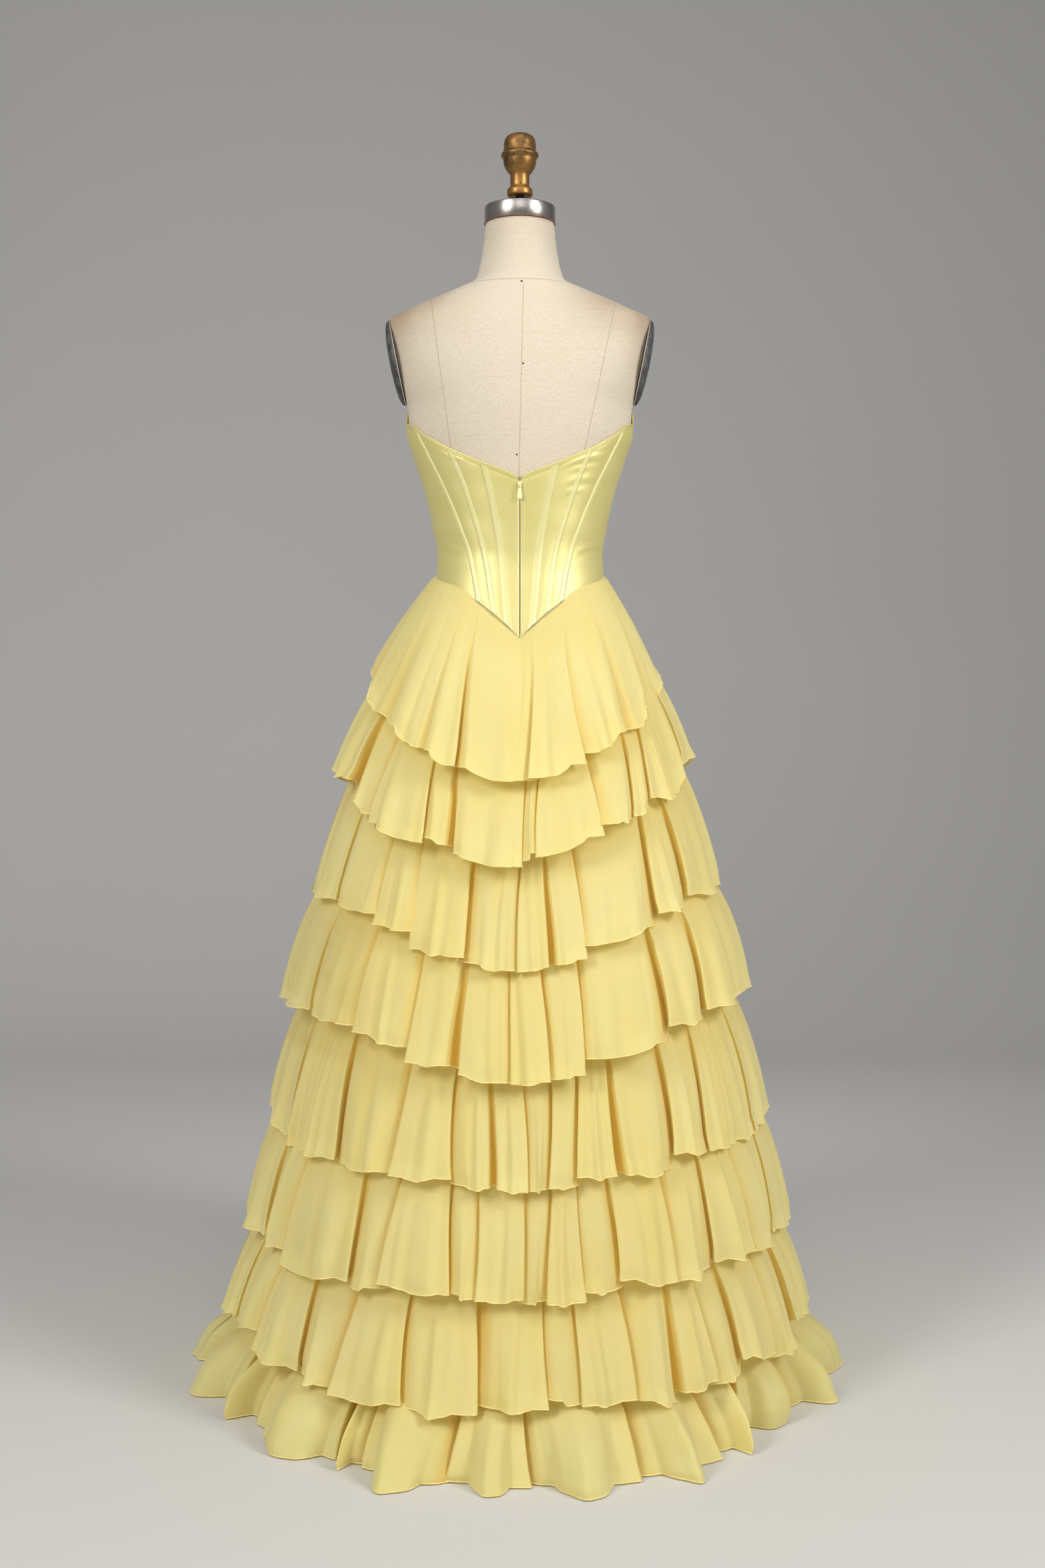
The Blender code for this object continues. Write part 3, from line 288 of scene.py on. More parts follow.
class Curve:
    """Smooth curves through a table's rows that never pass a row's value, read by the first column."""

    def __init__(self, rows):
        table = np.array(sorted(tuple(row) for row in rows), float)
        self.at_x = table[:, 0]
        self.values = table[:, 1:]
        slope = np.diff(self.values, axis=0) / np.diff(self.at_x)[:, None]
        product = slope[:-1] * slope[1:]
        total = slope[:-1] + slope[1:]
        middle = np.where(product > 0, 2 * product / np.where(total == 0, 1, total), 0)
        self.slopes = np.vstack([slope[:1], middle, slope[-1:]])

    def at(self, x):
        x = np.clip(np.asarray(x, float), self.at_x[0], self.at_x[-1])
        i = np.clip(np.searchsorted(self.at_x, x, side="right") - 1, 0, len(self.at_x) - 2)
        width = (self.at_x[i + 1] - self.at_x[i])[..., None]
        t = ((x - self.at_x[i])[..., None]) / width
        found = (
            self.values[i] * (1 + 2 * t) * (1 - t) ** 2
            + self.values[i + 1] * t * t * (3 - 2 * t)
            + self.slopes[i] * width * t * (1 - t) ** 2
            - self.slopes[i + 1] * width * t * t * (1 - t)
        )
        return np.moveaxis(found, -1, 0)


FORM = Curve(FORM_SECTIONS)
SKIRT = Curve(SKIRT_SECTIONS)
TOP = Curve(TOP_EDGE)
FLOOR = Curve(FLOOR_ROWS)


def smooth(value):
    value = np.clip(value, 0, 1)
    return value * value * (3 - 2 * value)


def folded(angle):
    """How far an angle is from the centre back or the centre front, whichever is nearer."""
    away = np.abs((np.asarray(angle, float) + 180) % 360 - 180)
    return np.minimum(away, 180 - away)


def oval(angle, height, side, back):
    """Points on level ovals."""
    turn = np.radians(angle)
    return np.stack(np.broadcast_arrays(side * np.sin(turn), -back * np.cos(turn), height), axis=-1)


def unit(vectors):
    return vectors / np.maximum(np.linalg.norm(vectors, axis=-1, keepdims=True), 1e-12)


def form_axes(angle, height):
    """Half width and half depth of the form, which differ behind and in front."""
    half_width, back, front = FORM.at(height)
    return half_width, np.where(np.cos(np.radians(angle)) > 0, back, front)


def form_point(angle, height):
    return oval(angle, height, *form_axes(angle, height))


def form_radius(angle, height):
    x, y, _ = np.moveaxis(form_point(angle, height), -1, 0)
    return np.hypot(x, y)


def out_of_form(angle, height):
    """Directions straight out of the form's smooth surface."""
    round_it = form_point(angle + 0.5, height) - form_point(angle - 0.5, height)
    up_it = form_point(angle, height + MM) - form_point(angle, height - MM)
    return unit(np.cross(round_it, up_it))


def off_form(angle, height, distance):
    """Points a distance off the form's smooth surface."""
    out = out_of_form(angle, height)
    return form_point(angle, height) + out * np.asarray(distance, float)[..., None]


def waist_height(angle):
    return WAIST_SIDE - WAIST_DROP * np.exp(-folded(angle) / WAIST_SPREAD)


def top_height(angle):
    return TOP.at(np.abs((np.asarray(angle, float) + 180) % 360 - 180))[0]


def seam_angle(line, height):
    share = (height - line.low_height) / (line.high_height - line.low_height)
    return line.low_angle + (line.high_angle - line.low_angle) * share


def meeting_height(angle_at, edge_at, start):
    """The height at which lines round the form meet an edge, by repeated trial."""
    height = np.full_like(angle_at(start), start)
    for _ in range(40):
        height = edge_at(angle_at(height))
    return height


def bodice_top(angle):
    return top_height(angle) - BINDING_HEIGHT


def bodice_bottom(angle):
    return waist_height(angle) + SEAM_GAP


def skirt_axes(angle, height):
    """Half axes of the foundation's outer face: on the form at the waist, and free lower down."""
    half_width, depth = form_axes(angle, height)
    close = FORM_CLEARANCE + CHIFFON_THICKNESS
    side_free, back_free = SKIRT.at(height)
    share = smooth((waist_height(angle) - height) / SKIRT_BLEND)
    side = (half_width + close) * (1 - share) + side_free * share
    return side, (depth + close) * (1 - share) + back_free * share


def hem_height(tier, angle):
    return tier.back_height + (tier.side_height - tier.back_height) * (folded(angle) / 90) ** tier.rise


def seam_height(number, angle):
    if number == 0:
        return waist_height(angle) - SEAM_GAP
    return hem_height(TIERS[number - 1], angle) + TIER_LAP


# Meshes

def new_object(name, points, faces, finish, body=GOWN):
    """An object with smooth faces and one finish, which moves with a body."""
    mesh = bpy.data.meshes.new(name)
    mesh.from_pydata(np.asarray(points, float).reshape(-1, 3).tolist(), [], faces)
    mesh.update()
    mesh.shade_smooth()
    mesh.materials.append(finish)
    thing = bpy.data.objects.new(name, mesh)
    bpy.context.scene.collection.objects.link(thing)
    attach(thing, body)
    return thing


def grid_faces(columns, rows, start=0, round_columns=False, round_rows=False, flip=False):
    """Quads between neighbours of a grid of points, as one list of corner numbers."""
    i, j = np.meshgrid(
        np.arange(columns if round_columns else columns - 1),
        np.arange(rows if round_rows else rows - 1), indexing="ij",
    )
    i, j = i.ravel(), j.ravel()
    k, m = (i + 1) % columns, (j + 1) % rows
    faces = np.stack([i * rows + j, i * rows + m, k * rows + m, k * rows + j], axis=1) + start
    return faces[:, ::-1].tolist() if flip else faces.tolist()


def solid_faces(rings, sides, start=0, flip=False):
    """Faces over a stack of rings, closed at both ends. They face outwards if the rings turn left."""
    last = start + (rings - 1) * sides
    faces = grid_faces(rings, sides, start=start, round_rows=True)
    faces += [list(range(start, start + sides))[::-1], list(range(last, last + sides))]
    return [face[::-1] for face in faces] if flip else faces


def lay_out(thing, grid, extra=None):
    """Gives a grid mesh its places on the flat cloth, in metres, and its fold values."""
    across = running_length(grid[:, -1])
    steps = np.linalg.norm(np.diff(grid, axis=1), axis=2).mean(axis=0)
    down = np.concatenate([[0.0], np.cumsum(steps)])
    flat = np.stack(np.broadcast_arrays(across[:, None], -down[None, :]), axis=-1).reshape(-1, 2)
    mesh = thing.data
    layer = mesh.uv_layers.new(name="cloth")
    corner = np.empty(len(mesh.loops), np.int32)
    mesh.loops.foreach_get("vertex_index", corner)
    layer.data.foreach_set("uv", flat[corner].astype(np.float32).ravel())
    if extra is not None:
        depth = mesh.attributes.new("fold", "FLOAT", "POINT")
        depth.data.foreach_set("value", np.ascontiguousarray(extra, np.float32).ravel())


def cloth(name, grid, finish, fold=None):
    """An open sheet through a grid of points, grid[column, row]."""
    thing = new_object(name, grid, grid_faces(*grid.shape[:2]), finish)
    lay_out(thing, grid, fold)
    return thing


def cloth_area(grid):
    across = np.diff(grid, axis=0)[:, :-1]
    along = np.diff(grid, axis=1)[:-1]
    return float(np.linalg.norm(np.cross(across, along), axis=2).sum())


def cut_of(grid):
    """The least rectangle that a smooth grid was cut from, and its own area."""
    wide = float(np.linalg.norm(np.diff(grid, axis=0), axis=2).sum(axis=0).max())
    long = float(np.linalg.norm(np.diff(grid, axis=1), axis=2).sum(axis=1).max())
    return (wide, long), min(cloth_area(grid), wide * long)


TURNED_SIDES = 96
DASH_SIDES = 6
DASH_WIDTH = 1.3
# The four rings of a stitch: how far along it, and its size and how deep it sinks, in radii
DashRing = namedtuple("DashRing", "place size sink")
DASH_RINGS = table_of(DashRing, (0.0, 0.35, 0.9), (0.22, 1.0, 0.0), (0.78, 1.0, 0.0), (1.0, 0.35, 0.9))


def running_length(path):
    """How far along a path each of its points is."""
    return np.concatenate([[0.0], np.cumsum(np.linalg.norm(np.diff(path, axis=0), axis=1))])


def round_ring(side, up, sides):
    """Directions round a ring that lies in the plane of two others."""
    turn = (np.arange(sides) * math.tau / sides)[:, None]
    return side * np.cos(turn) + up * np.sin(turn)


def tube(name, path, out, radius, finish, sides=8, closed=False):
    """A round cord along a path, with directions that lean away from the form."""
    ahead = unit(np.gradient(path, axis=0))
    side = unit(np.cross(ahead, out))
    away = unit(np.cross(side, ahead))
    points = path[:, None] + round_ring(side[:, None], away[:, None], sides) * radius
    if closed:
        faces = grid_faces(len(path), sides, round_columns=True, round_rows=True, flip=True)
    else:
        faces = solid_faces(len(path), sides, flip=True)
    return new_object(name, points, faces, finish)


def turned(name, profile, base, finish):
    """A closed solid turned about the z axis."""
    angle = 360 * np.arange(TURNED_SIDES) / TURNED_SIDES
    rings = [oval(angle, base + row.rise, row.radius, row.radius) for row in profile]
    return new_object(name, np.array(rings), solid_faces(len(rings), TURNED_SIDES), finish)


def at_length(stations, reach, points):
    """Points read off a path at given lengths along it."""
    return np.stack([np.interp(stations, reach, column) for column in points.T], axis=-1)


def dashes(name, lines, finish, length, gap, radius):
    """Short raised stitches, end to end along lines, each a path and its outward directions."""
    places, sizes, sinks = np.array(DASH_RINGS).T
    points, faces = [], []
    for path, out in lines:
        reach = running_length(path)
        for start in np.arange(gap, reach[-1] - length, length + gap):
            stations = start + length * places
            middle, away = at_length(stations, reach, path), unit(at_length(stations, reach, out))
            side = unit(np.cross(unit(middle[-1] - middle[0]), away))
            ring = round_ring(side[:, None] * DASH_WIDTH, away[:, None], DASH_SIDES)
            first = len(points) * len(places) * DASH_SIDES
            faces += solid_faces(len(places), DASH_SIDES, first, flip=True)
            middle = middle - away * radius * sinks[:, None]
            points.append(middle[:, None] + ring * radius * sizes[:, None, None])
    return new_object(name, np.array(points), faces, finish)


# Finishes

def paint(red, green, blue):
    """Linear light from display values of 0 to 255."""
    return tuple(
        v / 12.92 if v <= 0.04045 else ((v + 0.055) / 1.055) ** 2.4
        for v in (red / 255, green / 255, blue / 255)
    )


class Value:
    """A number on a finish's wires. Arithmetic on it adds Math nodes."""

    def __init__(self, finish, socket):
        self.finish = finish
        self.socket = socket

    def _join(self, operation, first, second=None):
        inputs = {0: first} if second is None else {0: first, 1: second}
        return self.finish.node("ShaderNodeMath", {"operation": operation}, inputs)

    def __add__(self, other):
        return self._join("ADD", self, other)

    __radd__ = __add__

    def __sub__(self, other):
        return self._join("SUBTRACT", self, other)

    def __rsub__(self, other):
        return self._join("SUBTRACT", other, self)

    def __mul__(self, other):
        return self._join("MULTIPLY", self, other)

    __rmul__ = __mul__

    def __pow__(self, other):
        return self._join("POWER", self, other)

    def __abs__(self):
        return self._join("ABSOLUTE", self)

    def rising(self, low, high):
        """0 below low and 1 above high, or the other way round when low is above high."""
        inputs = {"Value": self, "From Min": low, "From Max": high}
        return self.finish.node("ShaderNodeMapRange", {"interpolation_type": "SMOOTHSTEP"}, inputs)


class Finish:
    """One material, built node by node on its Principled shader."""

    def __init__(self, name):
        self.material = bpy.data.materials.new(name)
        self.material.use_nodes = True
        self.tree = self.material.node_tree
        self.shader = self.tree.nodes["Principled BSDF"]

    def feed(self, socket, value):
        if isinstance(value, Value):
            self.tree.links.new(value.socket, socket)
        elif socket.type == "RGBA":
            socket.default_value = (*value[:3], 1.0)
        else:
            socket.default_value = value

    def node(self, kind, settings=None, inputs=None, out=0):
        made = self.tree.nodes.new(kind)
        for key, value in (settings or {}).items():
            setattr(made, key, value)
        for key, value in (inputs or {}).items():
            self.feed(made.inputs[key], value)
        return Value(self, made.outputs[out])

    def place(self):
        return self.node("ShaderNodeTexCoord", out="Object")

    def flat_place(self):
        return self.node("ShaderNodeUVMap", {"uv_map": "cloth"})

    def part(self, vector, letter):
        return self.node("ShaderNodeSeparateXYZ", None, {0: vector}, out=letter)

    def stretched(self, vector, scale, turn=0.0):
        inputs = {"Vector": vector, "Scale": scale, "Rotation": (0.0, 0.0, math.radians(turn))}
        return self.node("ShaderNodeMapping", None, inputs)

    def noise(self, vector, scale, detail=2.0, roughness=0.5):
        inputs = {"Vector": vector, "Scale": scale, "Detail": detail, "Roughness": roughness}
        return self.node("ShaderNodeTexNoise", None, inputs)

    def mix(self, first, second, share):
        inputs = {0: share, 6: first, 7: second}
        return self.node("ShaderNodeMix", {"data_type": "RGBA"}, inputs, out=2)

    def bump(self, height, strength, distance):
        inputs = {"Strength": strength, "Distance": distance, "Height": height}
        return self.node("ShaderNodeBump", None, inputs)

    def surface(self, **values):
        for key, value in values.items():
            self.feed(self.shader.inputs[key.replace("_", " ")], value)
        return self.material


def chiffon_finish(name, look, sheer):
    """Sheer crinkled cloth: matt, warmer in its folds by painted shade, with some light let through.
    """
    made = Finish(name)
    place, flat = made.place(), made.flat_place()
    fold = made.node("ShaderNodeAttribute", {"attribute_name": "fold"}, out="Fac")
    cloud = made.noise(place, 5.0, 2.0)
    streak = made.noise(made.stretched(flat, (38.0, 4.0, 1.0)), 1.0, 2.0, 0.6)
    pale = made.mix(look.chiffon, look.chiffon_pale, cloud.rising(0.35, 0.70) * 0.7)
    warm = made.mix(pale, look.chiffon_warm, streak.rising(0.46, 0.74) * 0.42)
    # Painted shade: the fold values darken the colour in valleys, under seams and over the lining
    deep = made.mix(warm, look.chiffon_deep_and_shade, fold ** 0.85 * 0.95)
    crease = made.noise(made.stretched(flat, (9.0, 26.0, 1.0), 34), 1.0, 1.0)
    line = (1.0 - abs(crease * 2.0 - 1.0)) ** 14.0 * cloud.rising(0.48, 0.62)
    height = line * 0.6 + made.noise(made.stretched(flat, (70.0, 26.0, 1.0)), 1.0, 2.0) * 0.6
    x, z = made.part(place, "X"), made.part(place, "Z")
    single = x.rising(-0.195, -0.215) * z.rising(0.47, 0.49) * z.rising(0.68, 0.65)
    thin = made.noise(place, 3.1, 1.0).rising(0.50, 0.64) * 0.5 + single + 0.7
    normal = made.bump(height, look.crinkle, 0.0016)
    cover = 1.0 - (1.0 - fold) * thin * sheer if sheer else 1.0
    made.surface(
        Base_Color=deep, Roughness=0.8, Specular_IOR_Level=0.2, Sheen_Weight=0.2, Sheen_Roughness=0.5,
        Normal=normal, Alpha=cover,
    )
    through = made.node("ShaderNodeBsdfTranslucent", None, {"Color": look.chiffon_glow})
    opaque = Value(made, made.shader.outputs[0])
    mixed = made.node("ShaderNodeMixShader", None, {0: 0.25, 1: opaque, 2: through})
    made.feed(made.tree.nodes["Material Output"].inputs["Surface"], mixed)
    return made.material


def hem_finish(look):
    """The narrow rolled hems: two or three layers of the same cloth, so a little deeper in colour."""
    made = Finish("chiffon_hem")
    mottle = made.noise(made.place(), 160.0, 2.0)
    colour = made.mix(look.chiffon, look.chiffon_deep_and_shade, mottle.rising(0.3, 0.8) * 0.55 + 0.15)
    normal = made.bump(mottle, 0.4, 0.0006)
    return made.surface(Base_Color=colour, Roughness=0.75, Sheen_Weight=0.2, Normal=normal)


def satin_finish(name, look, taped):
    """Smooth satin: a close weave with a soft sheen. A tape has painted shade and sheen."""
    made = Finish(name)
    place = made.place()
    warp = made.noise(made.stretched(place, (90.0, 90.0, 1400.0)), 1.0, 2.0)
    cloud = made.noise(place, 14.0, 2.0)
    colour = made.mix(look.satin, look.satin_deep_and_shade, cloud.rising(0.35, 0.75) * 0.4)
    height = warp * 0.4 + made.noise(place, 60.0, 2.0) * 1.2
    if taped:
        from_middle = made.node("ShaderNodeAttribute", {"attribute_name": "fold"}, out="Fac")
        # Painted shade along a tape's rows of stitches and at its edges, and a painted sheen all over
        # it
        stitch_shade = abs(from_middle - STITCH_ROW).rising(0.14, 0.04)
        edge = from_middle.rising(0.86, 0.98)
        colour = made.mix(colour, look.satin_sheen_and_thread, 0.30)
        colour = made.mix(colour, tuple(c * 0.62 for c in look.satin_deep_and_shade), stitch_shade * 0.4 + edge * 0.5)
    return made.surface(
        Base_Color=colour, Roughness=0.37 + warp * 0.08 + cloud * 0.06, Metallic=0.26,
        Sheen_Weight=0.1, Specular_IOR_Level=0.8, Normal=made.bump(height, 0.14, 0.0009),
    )


def thread_finish(look):
    made = Finish("thread")
    twist = made.noise(made.place(), 900.0, 1.0)
    colour = made.mix(look.satin_sheen_and_thread, look.satin, twist.rising(0.3, 0.8))
    normal = made.bump(twist, 0.3, 0.0003)
    return made.surface(Base_Color=colour, Roughness=0.5, Sheen_Weight=0.3, Normal=normal)


def linen_finish(look):
    """Cream linen with its weave, slubs, sewn seams and years of handling."""
    made = Finish("linen")
    place, flat = made.place(), made.flat_place()
    x, y, z = (made.part(place, letter) for letter in "XYZ")
    weft = made.noise(made.stretched(flat, (1500.0, 210.0, 1.0)), 1.0, 2.0)
    warp = made.noise(made.stretched(flat, (210.0, 1500.0, 1.0)), 1.0, 2.0)
    weave = (weft + warp) * 0.5
    slub = made.noise(made.stretched(flat, (18.0, 420.0, 1.0)), 1.0, 1.0).rising(0.62, 0.75)
    cloud = made.noise(place, 6.0, 4.0)
    shoulder = z.rising(1.445, 1.530) * (1.0 - z.rising(1.545, 1.575)) * abs(x).rising(0.02, 0.15)
    edge = abs(x).rising(0.135, 0.178) * z.rising(1.36, 1.44)
    grime = (shoulder * 0.9 + edge * 0.45 + z.rising(1.560, 1.640) * 0.25) * cloud.rising(0.15, 0.62)
    clean = made.mix(look.linen, look.linen_pale, weave.rising(0.38, 0.62))
    aged = made.mix(clean, look.linen_dirt, grime * 0.85 + slub * 0.10)
    spot = made.noise(place, 95.0, 1.0).rising(0.77, 0.82) * cloud.rising(0.4, 0.7)
    aged = made.mix(aged, look.linen_dirt, spot * 0.35)
    behind = 1.0 - y.rising(-0.012, -0.004)
    seam = abs(x - (z * 0.0242 - 0.0321)).rising(0.0011, 0.0003) * behind
    for slope, base in SHAPE_SEAMS:
        seam = seam + abs(x - (z * slope + base)).rising(0.0011, 0.0003)
    neck = abs(z - NECK_SEAM).rising(0.0012, 0.0003)
    seam = (seam * z.rising(1.542, 1.546).rising(1.0, 0.0) + neck).rising(0.0, 1.0)
    stitched = seam * made.noise(place, 420.0, 1.0).rising(0.35, 0.55)
    colour = made.mix(aged, look.linen_dirt, seam * 0.30 + stitched * 0.18)
    height = weave * 0.5 + slub * 0.5 - seam * 4.0
    return made.surface(
        Base_Color=colour, Roughness=0.86, Sheen_Weight=0.15, Normal=made.bump(height, 0.30, 0.0007),
    )


def metal_finish(look):
    """A metal with fine marks, and a second colour where it is worn or dirty."""
    made = Finish(look.name)
    place = made.place()
    fine = made.noise(made.stretched(place, look.stretch), look.scale, 3.0, 0.6)
    broad = made.noise(place, look.scale * 0.14, 3.0)
    share = (fine.rising(0.45, 0.75) * look.speck + broad.rising(0.35, 0.70) * 0.5).rising(0.0, 1.1)
    rough = look.roughness + fine * 0.18 + broad * 0.10 - 0.08
    colour = made.mix(paint(*look.colour), paint(*look.worn), share)
    normal = made.bump(fine, look.strength, 0.0005)
    return made.surface(Base_Color=colour, Metallic=look.metallic, Roughness=rough, Normal=normal)


def plain_finish(look):
    made = Finish(look.name)
    cloud = made.noise(made.place(), look.scale, 4.0)
    colour = made.mix(paint(*look.colour), paint(*look.other), cloud.rising(0.3, 0.7) * 0.5)
    normal = made.bump(cloud, 0.05, 0.002)
    return made.surface(Base_Color=colour, Roughness=look.roughness, Normal=normal)


# Sewn seams of the form in the finish: how far out each is per metre of height, and at the floor
SHAPE_SEAMS = ((-0.1353, 0.0813), (0.2086, -0.1823))
NECK_SEAM = 1.549


# Sizes and colours that a user may change

def colour_setting(name, description, colour):
    return FloatVectorProperty(
        name=name, description=description, default=paint(*colour), size=3, min=0.0, max=1.0,
        subtype="COLOR",
    )


def share_setting(name, description, default, low=0.0, high=1.0):
    return FloatProperty(
        name=name, description=description, default=default, min=low, max=high, subtype="FACTOR",
    )


def thin_setting(name, description, default, low, high):
    """A small length, given in mm."""
    return FloatProperty(
        name=name, description=description, default=default * MM, min=low * MM, max=high * MM,
        unit="LENGTH", precision=5,
    )


def far_setting(name, description, default, low, high):
    """A length given in metres."""
    return FloatProperty(
        name=name, description=description, default=default, min=low, max=high, unit="LENGTH",
    )


class ClothSettings(bpy.types.PropertyGroup):
    """Cloth of the gown."""

    chiffon: colour_setting("Chiffon", "Colour of a single layer in the light", (250, 238, 161))
    chiffon_pale: colour_setting("Chiffon, pale", "Paler clouds in the chiffon", (250, 241, 173))
    chiffon_warm: colour_setting("Chiffon, warm", "Warmer streaks along the cloth", (251, 232, 140))
    # The colour of the painted shade in folds, under seams and on the lining, and the hems' deeper
    # colour
    chiffon_deep_and_shade: colour_setting("Chiffon, in folds", "Colour deep in the folds", (236, 194, 90))
    chiffon_glow: colour_setting("Chiffon, light through", "Light that comes through", (252, 239, 140))
    satin: colour_setting("Satin", "Colour of the satin", (223, 211, 135))
    # Deeper clouds of the satin, and the base of the painted shade on the tapes
    satin_deep_and_shade: colour_setting("Satin, deep", "Deeper colour of the satin", (213, 202, 118))
    # The painted sheen on the tapes, and the thread's paler colour
    satin_sheen_and_thread: colour_setting("Satin, sheen", "Colour of its sheen and thread", (250, 246, 190))
    crinkle: share_setting("Crinkle", "How strongly the chiffon crinkles", 0.32)
    sheer: share_setting("Sheerness", "How much shows through a layer of chiffon", 0.16, 0.0, 0.6)
    overlap: share_setting("Pleat overlap", "How far a lobe laps the next", 0.46, 0.1, 0.8)
    ripple: share_setting("Ripple", "Strength of the slow waves over the panels", 1.0, 0.0, 2.0)
    hem_radius: thin_setting("Hem radius", "Half thickness of the rolled hems", 0.85, 0.2, 3)
    column_step: thin_setting("Column step", "Distance between columns of points", 3.3, 1.5, 12)
    rows: IntProperty(name="Rows", description="Rows of points down a tier", default=26, min=8, max=60)


class FormSettings(bpy.types.PropertyGroup):
    """Dress form and its fittings."""

    linen: colour_setting("Linen", "Colour of the cover", (208, 194, 170))
    linen_pale: colour_setting("Linen, pale", "Paler threads of the cover", (219, 206, 184))
    linen_dirt: colour_setting("Linen, soiled", "Colour where the cover is soiled", (160, 134, 104))
    stitch_radius: thin_setting("Stitch radius", "Half thickness of a stitch", 0.32, 0.1, 1)
    piping_radius: thin_setting("Piping radius", "Half thickness of the piped top edge", 1.35, 0.5, 3)


class StageSettings(bpy.types.PropertyGroup):
    """Floor, lights and camera."""

    floor: colour_setting("Floor", "Colour of the floor and backdrop", (216, 214, 209))
    camera_distance: far_setting("Camera distance", "From the axis to the camera", 2.68, 1.0, 10.0)
    camera_height: far_setting("Camera height", "Height of the camera", 0.937, 0.1, 3.0)
    light: share_setting("Light", "Strength of all the lights", 1.0, 0.1, 4.0)


CLOTH_FINISHES = {
    "chiffon": lambda cloth, form: chiffon_finish("gown_chiffon", cloth, cloth.sheer),
    "lining": lambda cloth, form: chiffon_finish("gown_lining", cloth, 0.0),
    "hem": lambda cloth, form: hem_finish(cloth),
    "satin": lambda cloth, form: satin_finish("satin", cloth, False),
    "satin_tape": lambda cloth, form: satin_finish("satin_tape", cloth, True),
    "thread": lambda cloth, form: thread_finish(cloth),
    "linen": lambda cloth, form: linen_finish(form),
}
# Metals and plain paints: two display colours, and how the second is spread over the first
Metal = namedtuple(
    "Metal", "name colour worn metallic roughness scale stretch strength speck",
    defaults=((1.0, 1.0, 1.0), 0.2, 0.5),
)
METALS = {
    "steel": Metal(
        "brushed_steel", (184, 178, 170), (92, 86, 80), 1.0, 0.22, 60, (1, 1, 30), 0.25, 0.35,
    ),
    "bronze": Metal("worn_bronze", (164, 120, 66), (80, 70, 46), 0.85, 0.36, 130, strength=0.25),
    "dark": Metal(
        "speckled_dark_metal", (66, 66, 70), (128, 126, 124), 0.35, 0.62, 620,
        strength=0.5, speck=0.75,
    ),
    "iron": Metal("blackened_iron", (52, 44, 38), (96, 72, 54), 0.6, 0.55, 400, strength=0.4),
    "rust": Metal("rust_line", (142, 84, 58), (92, 58, 44), 0.2, 0.75, 500, strength=0.4),
    "zip_metal": Metal("zip_metal", (168, 168, 162), (110, 108, 100), 0.9, 0.38, 900),
}
Plain = namedtuple("Plain", "name colour other roughness scale")
PLAINS = {
    "zip_paint": Plain("zip_paint", (255, 251, 196), (246, 238, 164), 0.28, 300),
    "tape": Plain("zip_tape", (150, 144, 96), (112, 106, 72), 0.85, 900),
    "stand": Plain("stand_paint", (58, 58, 60), (76, 74, 72), 0.45, 40),
}
made_finishes = {}


def finish(name):
    """A finish by name, made from the settings when it is first asked for."""
    if name not in made_finishes:
        scene = bpy.context.scene
        if name in METALS:
            made_finishes[name] = metal_finish(METALS[name])
        elif name in PLAINS:
            made_finishes[name] = plain_finish(PLAINS[name])
        else:
            made_finishes[name] = CLOTH_FINISHES[name](scene.gown_cloth, scene.gown_form)
    return made_finishes[name]


def stands_for(thing, slot, *nodes):
    """Hides the CAD nodes that a piece stands for. Its slot is not used."""
    if nodes:
        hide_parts(*nodes)


# Form, fittings and stand

FORM_COLUMNS = 168
FORM_ROWS = 168


def with_plate_flats(points):
    """Points of the form, held back to the arm plates' planes."""
    reach = PLATE_X + (points[..., 2] - PLATE_HEIGHT) * math.tan(PLATE_TILT)
    reach = np.where(points[..., 2] < PLATE_FLAT_BASE, np.inf, reach)
    points = points.copy()
    points[..., 0] = np.clip(points[..., 0], -reach, reach)
    return points


def make_form():
    """The linen cover, from the form's least section up to the neck's top."""
    angle = 360 * np.arange(FORM_COLUMNS)[:, None] / FORM_COLUMNS
    height = np.linspace(FORM_SECTIONS[0].height, NECK_TOP, FORM_ROWS)[None, :]
    points = with_plate_flats(form_point(angle, height + 0 * angle))
    faces = grid_faces(FORM_COLUMNS, FORM_ROWS, round_columns=True, flip=True)
    faces.append([i * FORM_ROWS for i in range(FORM_COLUMNS)][::-1])
    faces.append([i * FORM_ROWS + FORM_ROWS - 1 for i in range(FORM_COLUMNS)])
    cover = new_object("form_cover", points, faces, finish("linen"))
    lay_out(cover, points)
    stands_for(cover, "linen", "torso")


PlateRing = namedtuple("PlateRing", "scale rise")
PLATE_RINGS = table_of(
    PlateRing,
    (1.0, 0.0), (1.0, 0.40), (0.990, 0.72), (0.965, 1.02), (0.91, 1.34), (0.82, 1.66), (0.68, 1.95),
    (0.48, 2.18), (0.25, 2.30), (0.08, 2.34),
)
PLATE_SIDES = 80
PLATE_CORD = PlateRing(1.006, 0.10)
PLATE_CORD_RADIUS = 0.55 * MM


